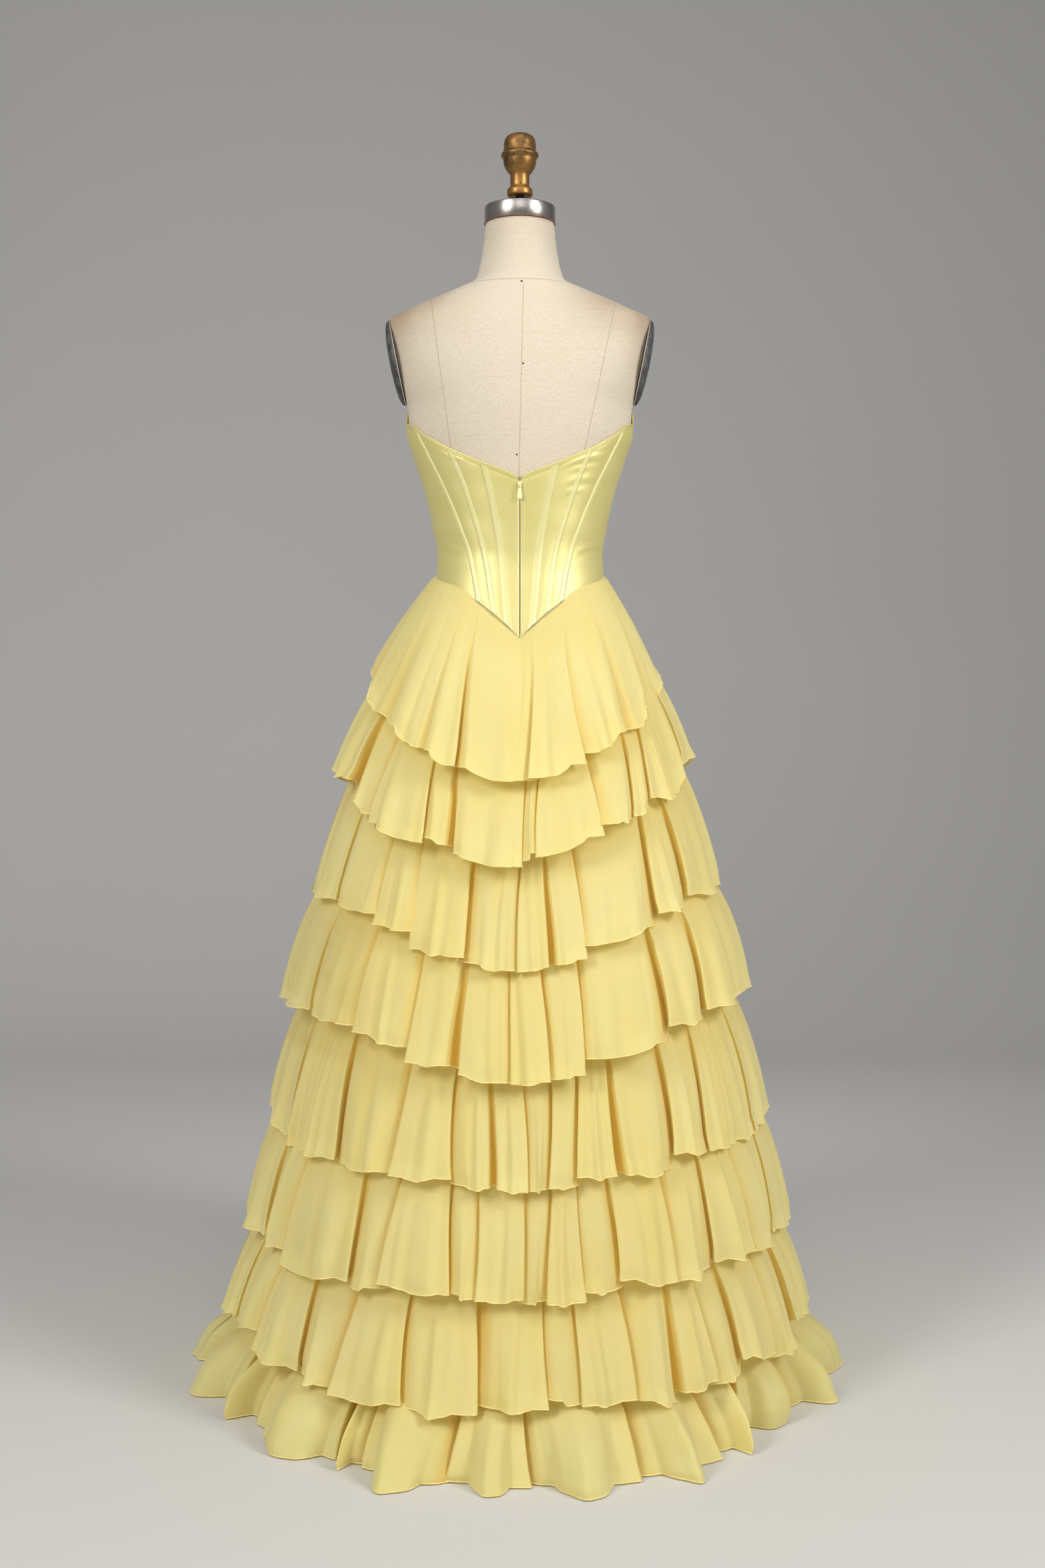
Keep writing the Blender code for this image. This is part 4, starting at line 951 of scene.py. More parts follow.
def make_arm_plates():
    """Oval plates at the shoulders, with a rounded edge and a thin pale cord round them."""
    for word, side in (("right", 1), ("left", -1)):
        centre = np.array((side * (PLATE_X + SEAM_GAP), 0.0, PLATE_HEIGHT))
        out = np.array((side * math.cos(PLATE_TILT), 0.0, -math.sin(PLATE_TILT)))
        up = np.array((side * math.sin(PLATE_TILT), 0.0, math.cos(PLATE_TILT)))
        level = np.array((0.0, 1.0, 0.0))
        edge = round_ring(level * PLATE_HALF_DEPTH, up * PLATE_HALF_HEIGHT, PLATE_SIDES)

        rings = np.array([
            centre + out * row.rise * PLATE_THICKNESS + edge * row.scale for row in PLATE_RINGS
        ])
        faces = solid_faces(len(rings), PLATE_SIDES, flip=side < 0)
        plate = new_object(f"arm_plate_{word}_face", rings, faces, finish("dark"))
        stands_for(plate, "dark_metal", f"arm_plate_{word}")
        path = centre + out * PLATE_CORD.rise * PLATE_THICKNESS + edge * PLATE_CORD.scale
        outwards = np.broadcast_to(out, path.shape)
        name = f"arm_plate_{word}_cord"
        cord = tube(name, path, outwards, PLATE_CORD_RADIUS, finish("linen"), closed=True)
        stands_for(cord, "linen")


DOME_SIDES = 16
DOME_SHARES = (0.0, 0.35, 0.65, 0.88, 1.0)
DOME_TIP = 0.03


def dome(name, centre, out, radius, rise, finish):
    """A small round head, such as a pin's, on a face."""
    out = unit(np.array(out, float))
    side = unit(np.cross(out, (0.0, 0.3, 1.0)))
    circle = round_ring(side, np.cross(side, out), DOME_SIDES)
    rings = []
    for share in DOME_SHARES:
        turn = share * math.pi / 2
        spread = circle * radius * (math.cos(turn) + DOME_TIP)
        rings.append(centre + spread + out * rise * math.sin(turn))
    return new_object(name, np.array(rings), solid_faces(len(rings), DOME_SIDES, flip=True), finish)


PinHead = namedtuple("PinHead", "name angle height radius")
PIN_HEADS = table_of(
    PinHead,
    ("pin_neck", 1.5, 1.5448, 1.5), ("pin_upper", 1.5, 1.4245, 1.3), ("pin_lower", -1.6, 1.3000, 1.2),
    ("pin_collar_left", -77.0, 1.6154, 1.0), ("pin_collar_right", 77.0, 1.6172, 1.0),
)
PIN_RISE = 0.7 * MM
RUST_SIDES = 72
RUST_RADIUS = 50.3 * MM
THREAD_PITCH = 1.75 * MM
THREAD_DEPTH = 0.9 * MM
HOLE_PLACE = (0.0012, -0.01365, 1.6957)
HOLE_OUT = (0.08, -1, 0)
HOLE_RADIUS = 1.3 * MM


def make_cap():
    """The steel neck cap, with a line of rust at its foot."""
    stands_for(turned("neck_cap_face", CAP_PROFILE, CAP_BASE, finish("steel")), "steel", "neck_cap")
    angle = 360 * np.arange(RUST_SIDES) / RUST_SIDES
    path = oval(angle, CAP_BASE + 0.5 * MM, RUST_RADIUS, RUST_RADIUS)
    line = tube("neck_cap_line", path, unit(path * (1, 1, 0)), 0.75 * MM, finish("rust"), closed=True)
    stands_for(line, "steel")


def make_finial():
    """The finial on its threaded stem, with the hole for a pin."""
    columns, rises = 40, 84
    angle = (360 * np.arange(columns) / columns)[:, None]
    rise = np.linspace(0, STEM_HEIGHT, rises)[None, :]
    thread = np.abs(((rise / THREAD_PITCH + angle / 360) % 1.0) * 2 - 1)
    radius = STEM_RADIUS - THREAD_DEPTH * thread
    points = oval(angle, STEM_BASE + rise + 0 * angle, radius, radius)
    faces = grid_faces(columns, rises, round_columns=True, flip=True)
    stem = new_object("finial_stem_thread", points, faces, finish("iron"))
    stands_for(stem, "dark_metal", "finial_stem")
    finial = turned("finial_face", FINIAL_PROFILE, FINIAL_BASE, finish("bronze"))
    stands_for(finial, "bronze", "finial")
    hole = dome("finial_hole", HOLE_PLACE, HOLE_OUT, HOLE_RADIUS, 0.15 * MM, finish("iron"))
    stands_for(hole, "dark_metal")


def make_pins():
    """The pins in the form's cover."""
    for pin in PIN_HEADS:
        angle, height = np.array(pin.angle), np.array(pin.height)
        place, out = form_point(angle, height), out_of_form(angle, height)
        head = dome(pin.name, place, out, pin.radius * MM, PIN_RISE, finish("iron"))
        stands_for(head, "dark_metal")


def make_stand():
    """The pole and base, hidden by the skirt and finished plainly."""
    for name in ("stand_pole", "stand_base"):
        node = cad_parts[name]
        for slot in node.material_slots:
            slot.material = finish("stand")


# Bodice

SATIN_LEVEL = FORM_CLEARANCE + SATIN_THICKNESS
DIMPLES = 0.35 * MM
CREASE_BEND = 6.0


def bell(value, width):
    return np.exp(-(value / width) ** 2)


def crease_height(points):
    """How far the satin's creases and soft dimples move its points, in metres."""
    x, z = points[..., 0], points[..., 2]
    total = DIMPLES * np.sin(x * 61 + z * 47) * np.sin(z * 83 - x * 29 + 1.0)
    for crease in SATIN_CREASES:
        along = x - crease.x
        across = z - crease.z - along * crease.slope + CREASE_BEND * along * along * np.sign(crease.x)
        ridge = bell(across, crease.width) - 0.6 * bell(across + 2.1 * crease.width, crease.width)
        total += crease.depth * MM * np.exp(-(along / crease.length) ** 4) * ridge
    return total


BODICE_PARTS = (
    ("centre", CENTRE_BACK, INNER_SEAM), ("inner", INNER_SEAM, MIDDLE_SEAM),
    ("middle", MIDDLE_SEAM, OUTER_SEAM), ("side", OUTER_SEAM, SIDE_SEAM),
)
SLOT_HALF = 0.5 * MM


def patch_places(side, angle_at, shares, rows, end_gap=0.0):
    """Angles and heights of a shaped layer between the binding and the waist, [column, row]."""
    bottom = meeting_height(lambda h: angle_at(shares, h), bodice_bottom, 1.10) + end_gap
    top = meeting_height(lambda h: angle_at(shares, h), bodice_top, 1.30) - end_gap
    down = np.linspace(0, 1, rows)
    height = top[:, None] + (bottom - top)[:, None] * down[None, :]
    return side * angle_at(shares[:, None], height), height


PANEL_ROWS = 110
PANEL_STEP = 2.4 * MM
WIDTH_LEVEL = 1.2
# How much a panel's columns crowd towards its seams, and the ends over which its creases fade
CROWDING = 0.35
CREASE_FADE = 0.04
PANEL_SWELL = 0.7 * MM
SEAM_DIP = 0.9 * MM
ZIP_RIDGE = 0.9 * MM


def satin_panel(name, side, first, last, half_gaps, node):
    """A smooth satin panel that swells a little between its seams and dips at them."""
    def angle_at(share, height):
        left, right = seam_angle(first, height), seam_angle(last, height)
        radius = form_radius((left + right) / 2, height)
        left = left + np.degrees(half_gaps[0] / radius)
        right = right - np.degrees(half_gaps[1] / radius)
        return left + (right - left) * share

    edge_angles = np.array([seam_angle(line, WIDTH_LEVEL) for line in (first, last)])
    left_edge, right_edge = form_point(edge_angles, WIDTH_LEVEL)
    width = np.linalg.norm(left_edge - right_edge)
    even = np.linspace(0, 1, max(14, int(width / PANEL_STEP)))
    shares = (1 - np.cos(even * math.pi)) / 2 * CROWDING + even * (1 - CROWDING)
    angle, height = patch_places(side, angle_at, shares, PANEL_ROWS)
    from_edge = np.minimum(shares, 1 - shares)[:, None] * width
    swell = PANEL_SWELL * np.sin(shares * math.pi)[:, None] - SEAM_DIP * bell(from_edge, 1.3 * MM)
    if first is CENTRE_BACK:
        swell = swell + ZIP_RIDGE * bell(shares[:, None] * width - 2.6 * MM, 1.9 * MM)
    flat = off_form(angle, height, SATIN_LEVEL + swell)
    down = np.linspace(0, 1, PANEL_ROWS)[None, :]
    ends = smooth(down / CREASE_FADE) * smooth((1 - down) / CREASE_FADE)
    grid = off_form(angle, height, SATIN_LEVEL + (swell + crease_height(flat)) * ends)
    if side < 0:
        grid = grid[::-1]
    thing = cloth(name, grid, finish("satin"))
    stands_for(thing, "satin", node)


def make_bodice():
    """Satin panels of the back, and the plain hidden front."""
    half = SEAM_GAP / 2
    for word, side in (("right", 1), ("left", -1)):
        for part, first, last in BODICE_PARTS:
            gaps = (SLOT_HALF if part == "centre" else half, half)
            satin_panel(f"satin_{part}_{word}", side, first, last, gaps, f"bodice_back_{part}_{word}")
        part = f"front_side_{word}"
        satin_panel(f"satin_{part}", side, SIDE_SEAM, FRONT_SEAM, (half, half), f"bodice_{part}")
    part = "front_centre"
    satin_panel(f"satin_{part}", 1, FRONT_SEAM, OTHER_FRONT_SEAM, (half, half), f"bodice_{part}")


TAPE_COLUMNS = 13
TAPE_ROWS = 90
TAPE_END_GAP = 1.0 * MM
TAPE_RISE = 1.45 * MM
TAPE_EDGE_SINK = 0.3 * MM
# How much of the satin's creases shows in a tape
TAPE_CREASES = 0.25
# Where the two rows of stitches are, from a tape's middle at 0 to its edge at 1, which columns of
# points that is, and how deep they pull the tape in
STITCH_ROW = 0.68
STITCH_COLUMNS = (2, 10)
GROOVE_DEPTH = 0.5 * MM
GROOVE_WIDTH = 0.10
# A stitch's length and the gap to the next, and how far it stands off the tape
TAPE_STITCH = (2.1 * MM, 0.9 * MM)
TAPE_STITCH_LIFT = 0.12 * MM


def make_boning():
    """Raised tapes over the seams, each with two rows of stitches."""
    for word, side in (("right", 1), ("left", -1)):
        for line in CHANNEL_SEAMS:
            boning_tape(f"{line.name}_{word}", side, line)


def boning_tape(name, side, line):
    def angle_at(share, height):
        middle = seam_angle(line, height)
        return middle + np.degrees((share - 0.5) * CHANNEL_WIDTH / form_radius(middle, height))

    across = np.linspace(-1, 1, TAPE_COLUMNS)
    angle, height = patch_places(side, angle_at, (across + 1) / 2, TAPE_ROWS, TAPE_END_GAP)
    flat = off_form(angle, height, np.full(angle.shape, SATIN_LEVEL))
    raised = TAPE_RISE * (1 - np.abs(across) ** 6) - TAPE_EDGE_SINK
    grooves = GROOVE_DEPTH * bell(np.abs(across) - STITCH_ROW, GROOVE_WIDTH)
    creases = TAPE_CREASES * crease_height(flat)
    grid = off_form(angle, height, SATIN_LEVEL + (raised - grooves)[:, None] + creases)
    from_middle = np.abs(across)[:, None] + 0 * height
    faced = grid[::-1] if side < 0 else grid
    thing = cloth(f"boning_tape_{name}", faced, finish("satin_tape"), from_middle)
    stands_for(thing, "satin", f"boning_{name}")
    lines = []
    for column in STITCH_COLUMNS:
        out = out_of_form(angle[column], height[column])
        lines.append((grid[column] + out * TAPE_STITCH_LIFT, out))
    radius = bpy.context.scene.gown_form.stitch_radius
    stitches = dashes(f"boning_stitches_{name}", lines, finish("thread"), *TAPE_STITCH, radius)
    stands_for(stitches, "satin")
    long, area = cut_of(grid)[0][1], cloth_area(grid)
    flat = (max(area / long, LEAST_FLAT), long)


# The binding's spans of angle, and how far each of its cords is below the top edge. The upper one
# drops a little at the zip, to close the edge
NEAR_ZIP = 1.2
NEAR_SIDE = 89.95
CORDS = (("upper", 1.1 * MM), ("lower", 3.9 * MM))
ZIP_END_DROP = 1.6 * MM
ZIP_END_WIDTH = 2.2
BINDINGS = (
    ("binding_back_right", NEAR_ZIP, NEAR_SIDE), ("binding_back_left", -NEAR_SIDE, -NEAR_ZIP),
    ("binding_front", NEAR_SIDE + 0.1, 270 - 0.05),
)


def make_binding():
    """The piped top edge: two cords side by side, closed at the zip."""
    radius = bpy.context.scene.gown_form.piping_radius
    for node, start, end in BINDINGS:
        angle = np.linspace(start, end, max(40, int(abs(end - start) * 1.4)))
        out = out_of_form(angle, top_height(angle))
        for word, below in CORDS:
            height = top_height(angle) - below
            path = off_form(angle, height, np.full(angle.shape, FORM_CLEARANCE + radius))
            if node != "binding_front" and word == "upper":
                near = np.exp(-(np.abs(angle) - NEAR_ZIP) / ZIP_END_WIDTH)
                path = path - np.array((0.0, 0.0, ZIP_END_DROP)) * near[:, None]
            roll = tube(f"{node}_{word}_cord", path, out, radius, finish("satin"), sides=12)
            stands_for(roll, "satin")
            if word == "upper":
                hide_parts(node)


# Skirt

# The lining: how far below the waist it starts, how far it lies inside the frame's wall, and how far
# at least it stays inside that wall and off the form
LINING_DROP = 1.2 * MM
LINING_INSET = 5.0 * MM
LINING_LEAST = 0.4 * MM
LINING_OFF_FORM = 0.9 * MM
LINING_SHADE = 0.25
HALVES = (("back", -90, 90), ("front", 90, 270))
FLOUNCE_PARTS = (("back_left", -90, 0), ("back_right", 0, 90), ("front", 90, 270))


def make_foundation():
    """The plain layer that carries the tiers."""
    for word, start, end in HALVES:
        angle = np.linspace(start, end, 121)[:, None]
        down = np.linspace(0, 1, 90)[None, :]
        top = waist_height(angle) - LINING_DROP
        height = top + (SKIRT_SECTIONS[0].height - top) * down
        walls = skirt_axes(angle + 0 * down, height)
        side, back = (
            np.maximum(wall - LINING_INSET, np.minimum(wall - LINING_LEAST, inner + LINING_OFF_FORM))
            for wall, inner in zip(walls, form_axes(angle, height))
        )
        grid = oval(angle, height, side, back)
        thing = cloth(f"lining_{word}", grid, finish("lining"), np.full(grid.shape[:2], LINING_SHADE))
        stands_for(thing, "chiffon", f"foundation_{word}")


def all_folds(tier):
    """The back's folds, and the plain front's, which slow sines make a little uneven, once round."""
    back = BACK_FOLDS[tier.name]
    first, last = back[0].angle + 360, back[-1].angle
    folds = list(back)
    for i in range(1, tier.front_folds):
        uneven = 0.12 * math.sin(2.4 * i)
        angle = last + (first - last) * (i + uneven) / tier.front_folds
        depth = tier.front_depth * (0.85 + 0.15 * math.cos(1.7 * i))
        folds.append(Fold(angle, depth, 1 if i % 2 else -1, 5 * math.sin(1.9 * i)))
    return folds


# A point that a tier's outline passes through. Lengths are in mm, and valley is 0 to 1
Knot = namedtuple("Knot", "angle shift inset drop valley")
# How much of a pleat's width is in its points' angles. The rest is their shift, which grows downwards
SPREAD = 0.55
# The depth in mm from which a valley has its full painted shade
DEEP_VALLEY = 16
# How wide a pleat that doesn't lap is against one that does, on the first tier and on the others
SOFT_WIDTH = 9.0
OPEN_WIDTH = 0.85
# The most that a pleat reaches, by the gap to the next, and the rest beside it, in reaches
MOST_OF_GAP = 0.145
PLEAT_REST = 0.6
# Between pleats, in mm: the room that takes a second and a third point, the deepest fold that the bow
# grows with, the widest gap that the rounding grows with, and the gap from which the hem sags in full
SECOND_POINT = 10
THIRD_POINT = 24
UNEVEN_BOW = 0.26
DEEPEST_BOW = 18
WIDEST_ROUND = 130
FULL_SAG_GAP = 80


def pleat_of(tier, fold):
    """A fold's pleat, and the side that it leans to."""
    if fold.lean:
        return LAPPED, fold.lean
    return SOFT_PLEAT if tier is TIERS[0] else OPEN_PLEAT, 1


def pleat_knots(pleat, lean, fold, before, reach, round_mm):
    """The points of one pleat, from the lobe before it to the lobe after it."""
    first, last = pleat[0].across, pleat[-1].across
    knots = []
    for i, place in enumerate(pleat):
        across = place.across * reach * lean
        base = (first + (last - first) * i / (len(pleat) - 1)) * reach * lean * SPREAD
        upper = place.upper if lean > 0 else 1 - place.upper
        drop = (before.drop + before.tilt) * (1 - upper) + fold.drop * upper
        inset = place.inset * fold.depth
        valley = min(1.0, max(0.0, place.inset) * fold.depth / DEEP_VALLEY)
        knots.append(Knot(fold.angle + base / round_mm, across - base, inset, drop, valley))
    return knots if lean > 0 else knots[::-1]


def pleat_ends(pleat, lean):
    """How far a pleat goes to each side of its valley, in reaches."""
    ends = -pleat[0].across, pleat[-1].across
    return ends if lean > 0 else ends[::-1]


def tier_knots(tier, overlap):
    """The tier's outline once round, pleat by pleat."""
    folds = all_folds(tier)
    following = folds[1:] + folds[:1]
    soft = SOFT_WIDTH if tier is TIERS[0] else OPEN_WIDTH
    round_mm = math.radians((tier.side + tier.back) / 2) / MM
    gaps = [(after.angle - fold.angle) % 360 * round_mm for fold, after in zip(folds, following)]
    reaches = []
    for i, fold in enumerate(folds):
        wanted = overlap * fold.depth * (1 if fold.lean else soft)
        reaches.append(min(wanted, MOST_OF_GAP * gaps[i], MOST_OF_GAP * gaps[i - 1]))
    knots = []
    for i, (fold, after) in enumerate(zip(folds, following)):
        pleat, lean = pleat_of(tier, fold)
        knots += pleat_knots(pleat, lean, fold, folds[i - 1], reaches[i], round_mm)
        start = (pleat_ends(pleat, lean)[1] + PLEAT_REST) * reaches[i]
        next_pleat = pleat_ends(*pleat_of(tier, after))[0] + PLEAT_REST
        end = gaps[i] - next_pleat * reaches[(i + 1) % len(folds)]
        count = 1 + (end - start > SECOND_POINT) + (end - start > THIRD_POINT)
        for k in range(count):
            share = (k + 0.5) / count
            place = start + (end - start) * share
            bow = UNEVEN_BOW * min(fold.depth, DEEPEST_BOW) * math.sin(2.3 * i + 2.1 * k + fold.angle)
            rounded = tier.rounding * min(gaps[i], WIDEST_ROUND)
            bow -= rounded * math.sin(math.pi * (0.15 + 0.7 * share))
            sag = HEM_SAG * math.sin(math.pi * share) * min(1.0, gaps[i] / FULL_SAG_GAP)
            drop = fold.drop + fold.tilt * share + sag
            knots.append(Knot(fold.angle + place / round_mm, 0.0, bow, drop, 0.0))
    knots.sort(key=lambda knot: knot.angle)
    return knots, round_mm


# The least distance in mm between two knots along the outline, and how finely the outline is read
LEAST_STEP = 0.05
DENSE_READING = 40000


def tier_columns(tier, overlap, step, spans):
    """Columns of points for each span of angles: their angle, shift, inset, drop and valley."""
    knots, round_mm = tier_knots(tier, overlap)
    once = np.array(knots, float)
    table = np.vstack([once - [360, 0, 0, 0, 0], once, once + [360, 0, 0, 0, 0]])
    flat = np.stack([table[:, 0] * round_mm + table[:, 1], table[:, 2]], axis=-1)
    steps = np.maximum(np.linalg.norm(np.diff(flat, axis=0), axis=1), LEAST_STEP)
    places = np.concatenate([[0.0], np.cumsum(steps)])
    outline = Curve(np.column_stack([places, table]))
    dense = np.linspace(places[0], places[-1], DENSE_READING)
    angles = outline.at(dense)[0]
    found = []
    for start, end in spans:
        first, last = np.interp((start, end), angles, dense)
        count = max(8, int(math.ceil((last - first) / (step / MM))))
        columns = outline.at(np.linspace(first, last, count + 1)).T
        columns[0, 0], columns[-1, 0] = start, end
        found.append(columns)
    return found


# The first tier's top goes under the satin's edge: how soon it comes out, how much higher it
# starts and how far inside the wall it lies there. Its folds are soft and grow late
TUCK_SHARE = 0.025
TUCK_RISE = 2.5 * MM
TUCK_DEPTH = 0.7 * MM
FLOUNCE_GROWTH = 1.9
FLOUNCE_WAVES = 0.3
# The crease down the centre back of the first two tiers
CREASE_TIERS = 2
BACK_CREASE_DEPTH = 1.2 * MM
BACK_CREASE_WIDTH = 1.6 * MM
SHIFT_GROWTH = 1.1
# The hem's small curl in and out, over the last part of a tier
CURL = 3.2 * MM
CURL_START = 0.88


def tier_grid(number, columns, shares, ripple):
    """A tier's outer face, [column, row], from its seam to its hem."""
    tier = TIERS[number]
    angle, shift, inset, drop, valley = (columns[:, k:k + 1] for k in range(5))
    share = shares[None, :]
    top = seam_height(number, angle)
    lift = TIER_CLEARANCE + CHIFFON_THICKNESS
    fold_share = share ** FOLD_GROWTH
    shift_share = share ** SHIFT_GROWTH
    inset = inset * MM
    length = np.radians(angle) * tier.side
    if number == 0:
        clear = smooth(share / TUCK_SHARE)
        top = top + TUCK_RISE
        lift = lift * clear - TUCK_DEPTH * (1 - clear)
        fold_share = shift_share = share ** FLOUNCE_GROWTH
    if number < CREASE_TIERS:
        crease = BACK_CREASE_DEPTH * bell(length, BACK_CREASE_WIDTH)
        inset = inset + crease / np.maximum(fold_share, 0.2)
    side_top, back_top = (axis + lift for axis in skirt_axes(angle, top))
    further = np.where(angle % 360 < 180, tier.right, tier.left)
    side_hem = tier.side + further * MM
    if tier is TIERS[-1]:
        swell, height, ridge = FLOOR.at(share)
        height = height + ridge * (1 - valley)
        corner = CORNER_DRAW_IN * np.sin(2 * np.radians(angle)) ** 2
        inset = inset + (FLOOR_DRAW_IN + corner) * MM * share - drop * MM * share ** 2
        fold_share = np.minimum(1.0, share / FLOOR_FOLD_SHARE)
        bow = 0.0
    else:
        swell = share ** (tier.swell + BACK_SWELL * np.cos(np.radians(angle)) ** 2)
        height = top + (hem_height(tier, angle) - drop * MM - top) * share
        bow = BOW * MM * np.sin(math.pi * share)
    patch = 0.65 + 0.45 * np.sin(length * 23 + number * 2.6)
    waves = 0.0
    for wave in WAVES:
        turn = math.tau * (length / wave.length + wave.drift * share * 0.3) + number * 1.7
        waves = waves + wave.height * MM * np.sin(turn + 0.8 * np.sin(length * 17 + number))
    curl = CURL * smooth((share - CURL_START) / (1 - CURL_START)) * np.sin(length * 43 + number * 2.1)
    if number == 0:
        waves = waves * FLOUNCE_WAVES
    out = bow - inset * fold_share + (waves * patch * fold_share * (1 - valley) + curl) * ripple
    side = side_top + (side_hem - side_top) * swell + out
    back = back_top + (tier.back - back_top) * swell + out
    wander = WANDER * MM * np.sin(length * 29 + number * 1.3 + 1.8 * share) * (1 - share)
    turned_by = angle + np.degrees((shift * MM * shift_share + wander) / side)
    return oval(turned_by, height + 0 * turned_by, side, back)


# How the rows of points crowd towards the hem
ROW_CROWDING = 1.2
# The folds' painted shade, on the first tier and on the others: how late it grows down the cloth,
# and how deep it is under the seam, where it fades quickly
Shading = namedtuple("Shading", "growth seam")
FLOUNCE_SHADING = Shading(1.5, 0.08)
TIER_SHADING = Shading(0.25, 0.30)
SEAM_FADE = 2.5


def make_tier(number):
    """One tier: its sheets of chiffon and the rolled hem of each."""
    look = bpy.context.scene.gown_cloth
    tier = TIERS[number]
    parts, shading = (FLOUNCE_PARTS, FLOUNCE_SHADING) if number == 0 else (HALVES, TIER_SHADING)
    shares = 1 - (1 - np.linspace(0, 1, look.rows)) ** ROW_CROWDING
    found = tier_columns(tier, look.overlap, look.column_step, [part[1:] for part in parts])
    for (word, _, _), columns in zip(parts, found):
        grid = tier_grid(number, columns, shares, look.ripple)
        if tier is TIERS[-1]:
            grid[..., 2] = np.maximum(grid[..., 2], look.hem_radius)
        # Painted shade: in the valleys, growing down the cloth, and under the tier above at the seam
        growth = shares[None, :] ** shading.growth
        seam_shade = shading.seam * (1 - shares[None, :]) ** SEAM_FADE
        valley = np.maximum(columns[:, 4:5] * growth, seam_shade)
        thing = cloth(f"chiffon_{tier.name}_{word}", grid, finish("chiffon"), valley)
        stands_for(thing, "chiffon", f"{tier.name}_{word}")
        edge = grid[:, -1]
        out = unit(edge * (1.0, 1.0, 0.0))
        hem = tube(f"hem_{tier.name}_{word}", edge, out, look.hem_radius, finish("hem"), sides=6)
        stands_for(hem, "chiffon")
        rests = "lining_front" if word == "front" else "lining_back"


# Zip

def zip_line(count, bottom, level):
    """Points down the centre back at a level off the form, and their outward directions."""
    height = np.linspace(ZIP_TOP, bottom, count)
    angle = np.zeros(count)
    path = off_form(angle, height, np.full(count, level))
    path[:, 0] = 0.0
    return path, unit(off_form(angle, height, np.full(count, level + 0.01)) - path)


TAPE_HALF = 2.4 * MM
TAPE_SINK = 1.1 * MM
# Teeth: how far apart, how deep under the satin's face, and how far each goes to its own side and
# past the middle
TOOTH_PITCH = 1.3 * MM
TOOTH_SINK = 0.8 * MM
TOOTH_FAR = 1.25 * MM
TOOTH_NEAR = 0.35 * MM
TOOTH = (1.58 * MM, 0.0)
TOOTH_RADIUS = 0.42 * MM
# The rows of stitches beside the zip: how far from its middle and its ends, and off the satin
STITCHES_OFF = 5.2 * MM
STITCHES_DOWN = 4 * MM
STITCHES_UP = 2 * MM
STITCHES_LIFT = 0.60 * MM
ZIP_STITCH = (2.2 * MM, 1.0 * MM)
RADIUS_AT_ZIP = 0.1


def make_chain():
    """Tape and closed teeth in the slot, and a row of stitches on each side."""
    bottom = float(waist_height(0)) + SEAM_GAP
    path, _ = zip_line(60, bottom, SATIN_LEVEL - TAPE_SINK)
    across = np.linspace(-1, 1, 7) * TAPE_HALF
    grid = path[None] + across[:, None, None] * np.array((1.0, 0.0, 0.0))
    tape = cloth("zip_tape", grid, finish("tape"))
    stands_for(tape, "zip_metal", "zip_chain")
    count = int((ZIP_TOP - bottom) / TOOTH_PITCH)
    path, out = zip_line(count, bottom + 1 * MM, SATIN_LEVEL - TOOTH_SINK)
    teeth = []
    for i in range(count):
        start, end = (-TOOTH_FAR, TOOTH_NEAR) if i % 2 else (-TOOTH_NEAR, TOOTH_FAR)
        teeth.append((path[i] + np.array(((start, 0, 0), (end, 0, 0))), np.array((out[i], out[i]))))
    stands_for(dashes("zip_teeth", teeth, finish("zip_metal"), *TOOTH, TOOTH_RADIUS), "zip_metal")
    lines = []
    for x in (-STITCHES_OFF, STITCHES_OFF):
        height = np.linspace(ZIP_TOP - STITCHES_DOWN, bottom + STITCHES_UP, 80)
        angle = np.full(80, math.degrees(x / RADIUS_AT_ZIP))
        satin = SATIN_LEVEL + crease_height(off_form(angle, height, np.full(80, SATIN_LEVEL)))
        lines.append((off_form(angle, height, satin + STITCHES_LIFT), out_of_form(angle, height)))
    radius = bpy.context.scene.gown_form.stitch_radius
    stands_for(dashes("zip_stitches", lines, finish("thread"), *ZIP_STITCH, radius), "satin")


def plate(name, outline, near, far, edge, finish, body):
    """A flat plate with a softened edge, between two depths, from an outline of x and z in mm."""
    outline = np.array(outline, float)
    middle = outline.mean(axis=0)
    inward = unit(middle - outline)
    rings = []
    rims = (
        (far, 0.0), (near + edge, 0.0), (near + edge * 0.3, edge * 0.3), (near, edge),
        (near, edge * 1.6),
    )
    for depth, inset in rims:
        flat = (outline + inward * inset) * MM
        rings.append(np.stack([flat[:, 0], np.full(len(flat), depth * MM), flat[:, 1]], axis=-1))
    faces = solid_faces(len(rings), len(outline), flip=True)
    points = np.array(rings) + np.array((0.0, slider_face(), SLIDER_HEIGHT))
    return new_object(name, points, faces, finish, body)


def slider_face():
    """The y of the slider's outer face."""
    satin = off_form(np.array(0.0), np.array(SLIDER_HEIGHT), SATIN_LEVEL)
    return float(satin[1]) - SLIDER_CLEARANCE - SLIDER_DEPTH


def both_halves(half):
    """A closed outline from its half at +X, whose two ends are on the middle line."""
    return half + tuple((-x, z) for x, z in half[-2:0:-1])


# Outlines in mm from the slider's middle: to the right, and up
SLIDER_OUTLINE = both_halves((
    (0.0, 4.3), (1.6, 4.2), (2.6, 3.7), (2.9, 2.6), (2.7, 0.4), (2.2, -2.2), (1.9, -3.8), (1.2, -4.3),
    (0.0, -4.3),
))
PULL_OUTLINE = both_halves((
    (0.0, -5.6), (1.5, -5.6), (2.0, -6.4), (2.1, -8.4), (2.5, -11.0), (3.1, -14.0), (3.4, -17.0),
    (3.2, -19.0), (2.2, -19.9), (0.0, -20.0),
))
# The stop above the slider: its size against the slider's, and how high it is, in mm
STOP_WIDE = 0.62
STOP_HIGH = 0.26
STOP_RISE = 7.6
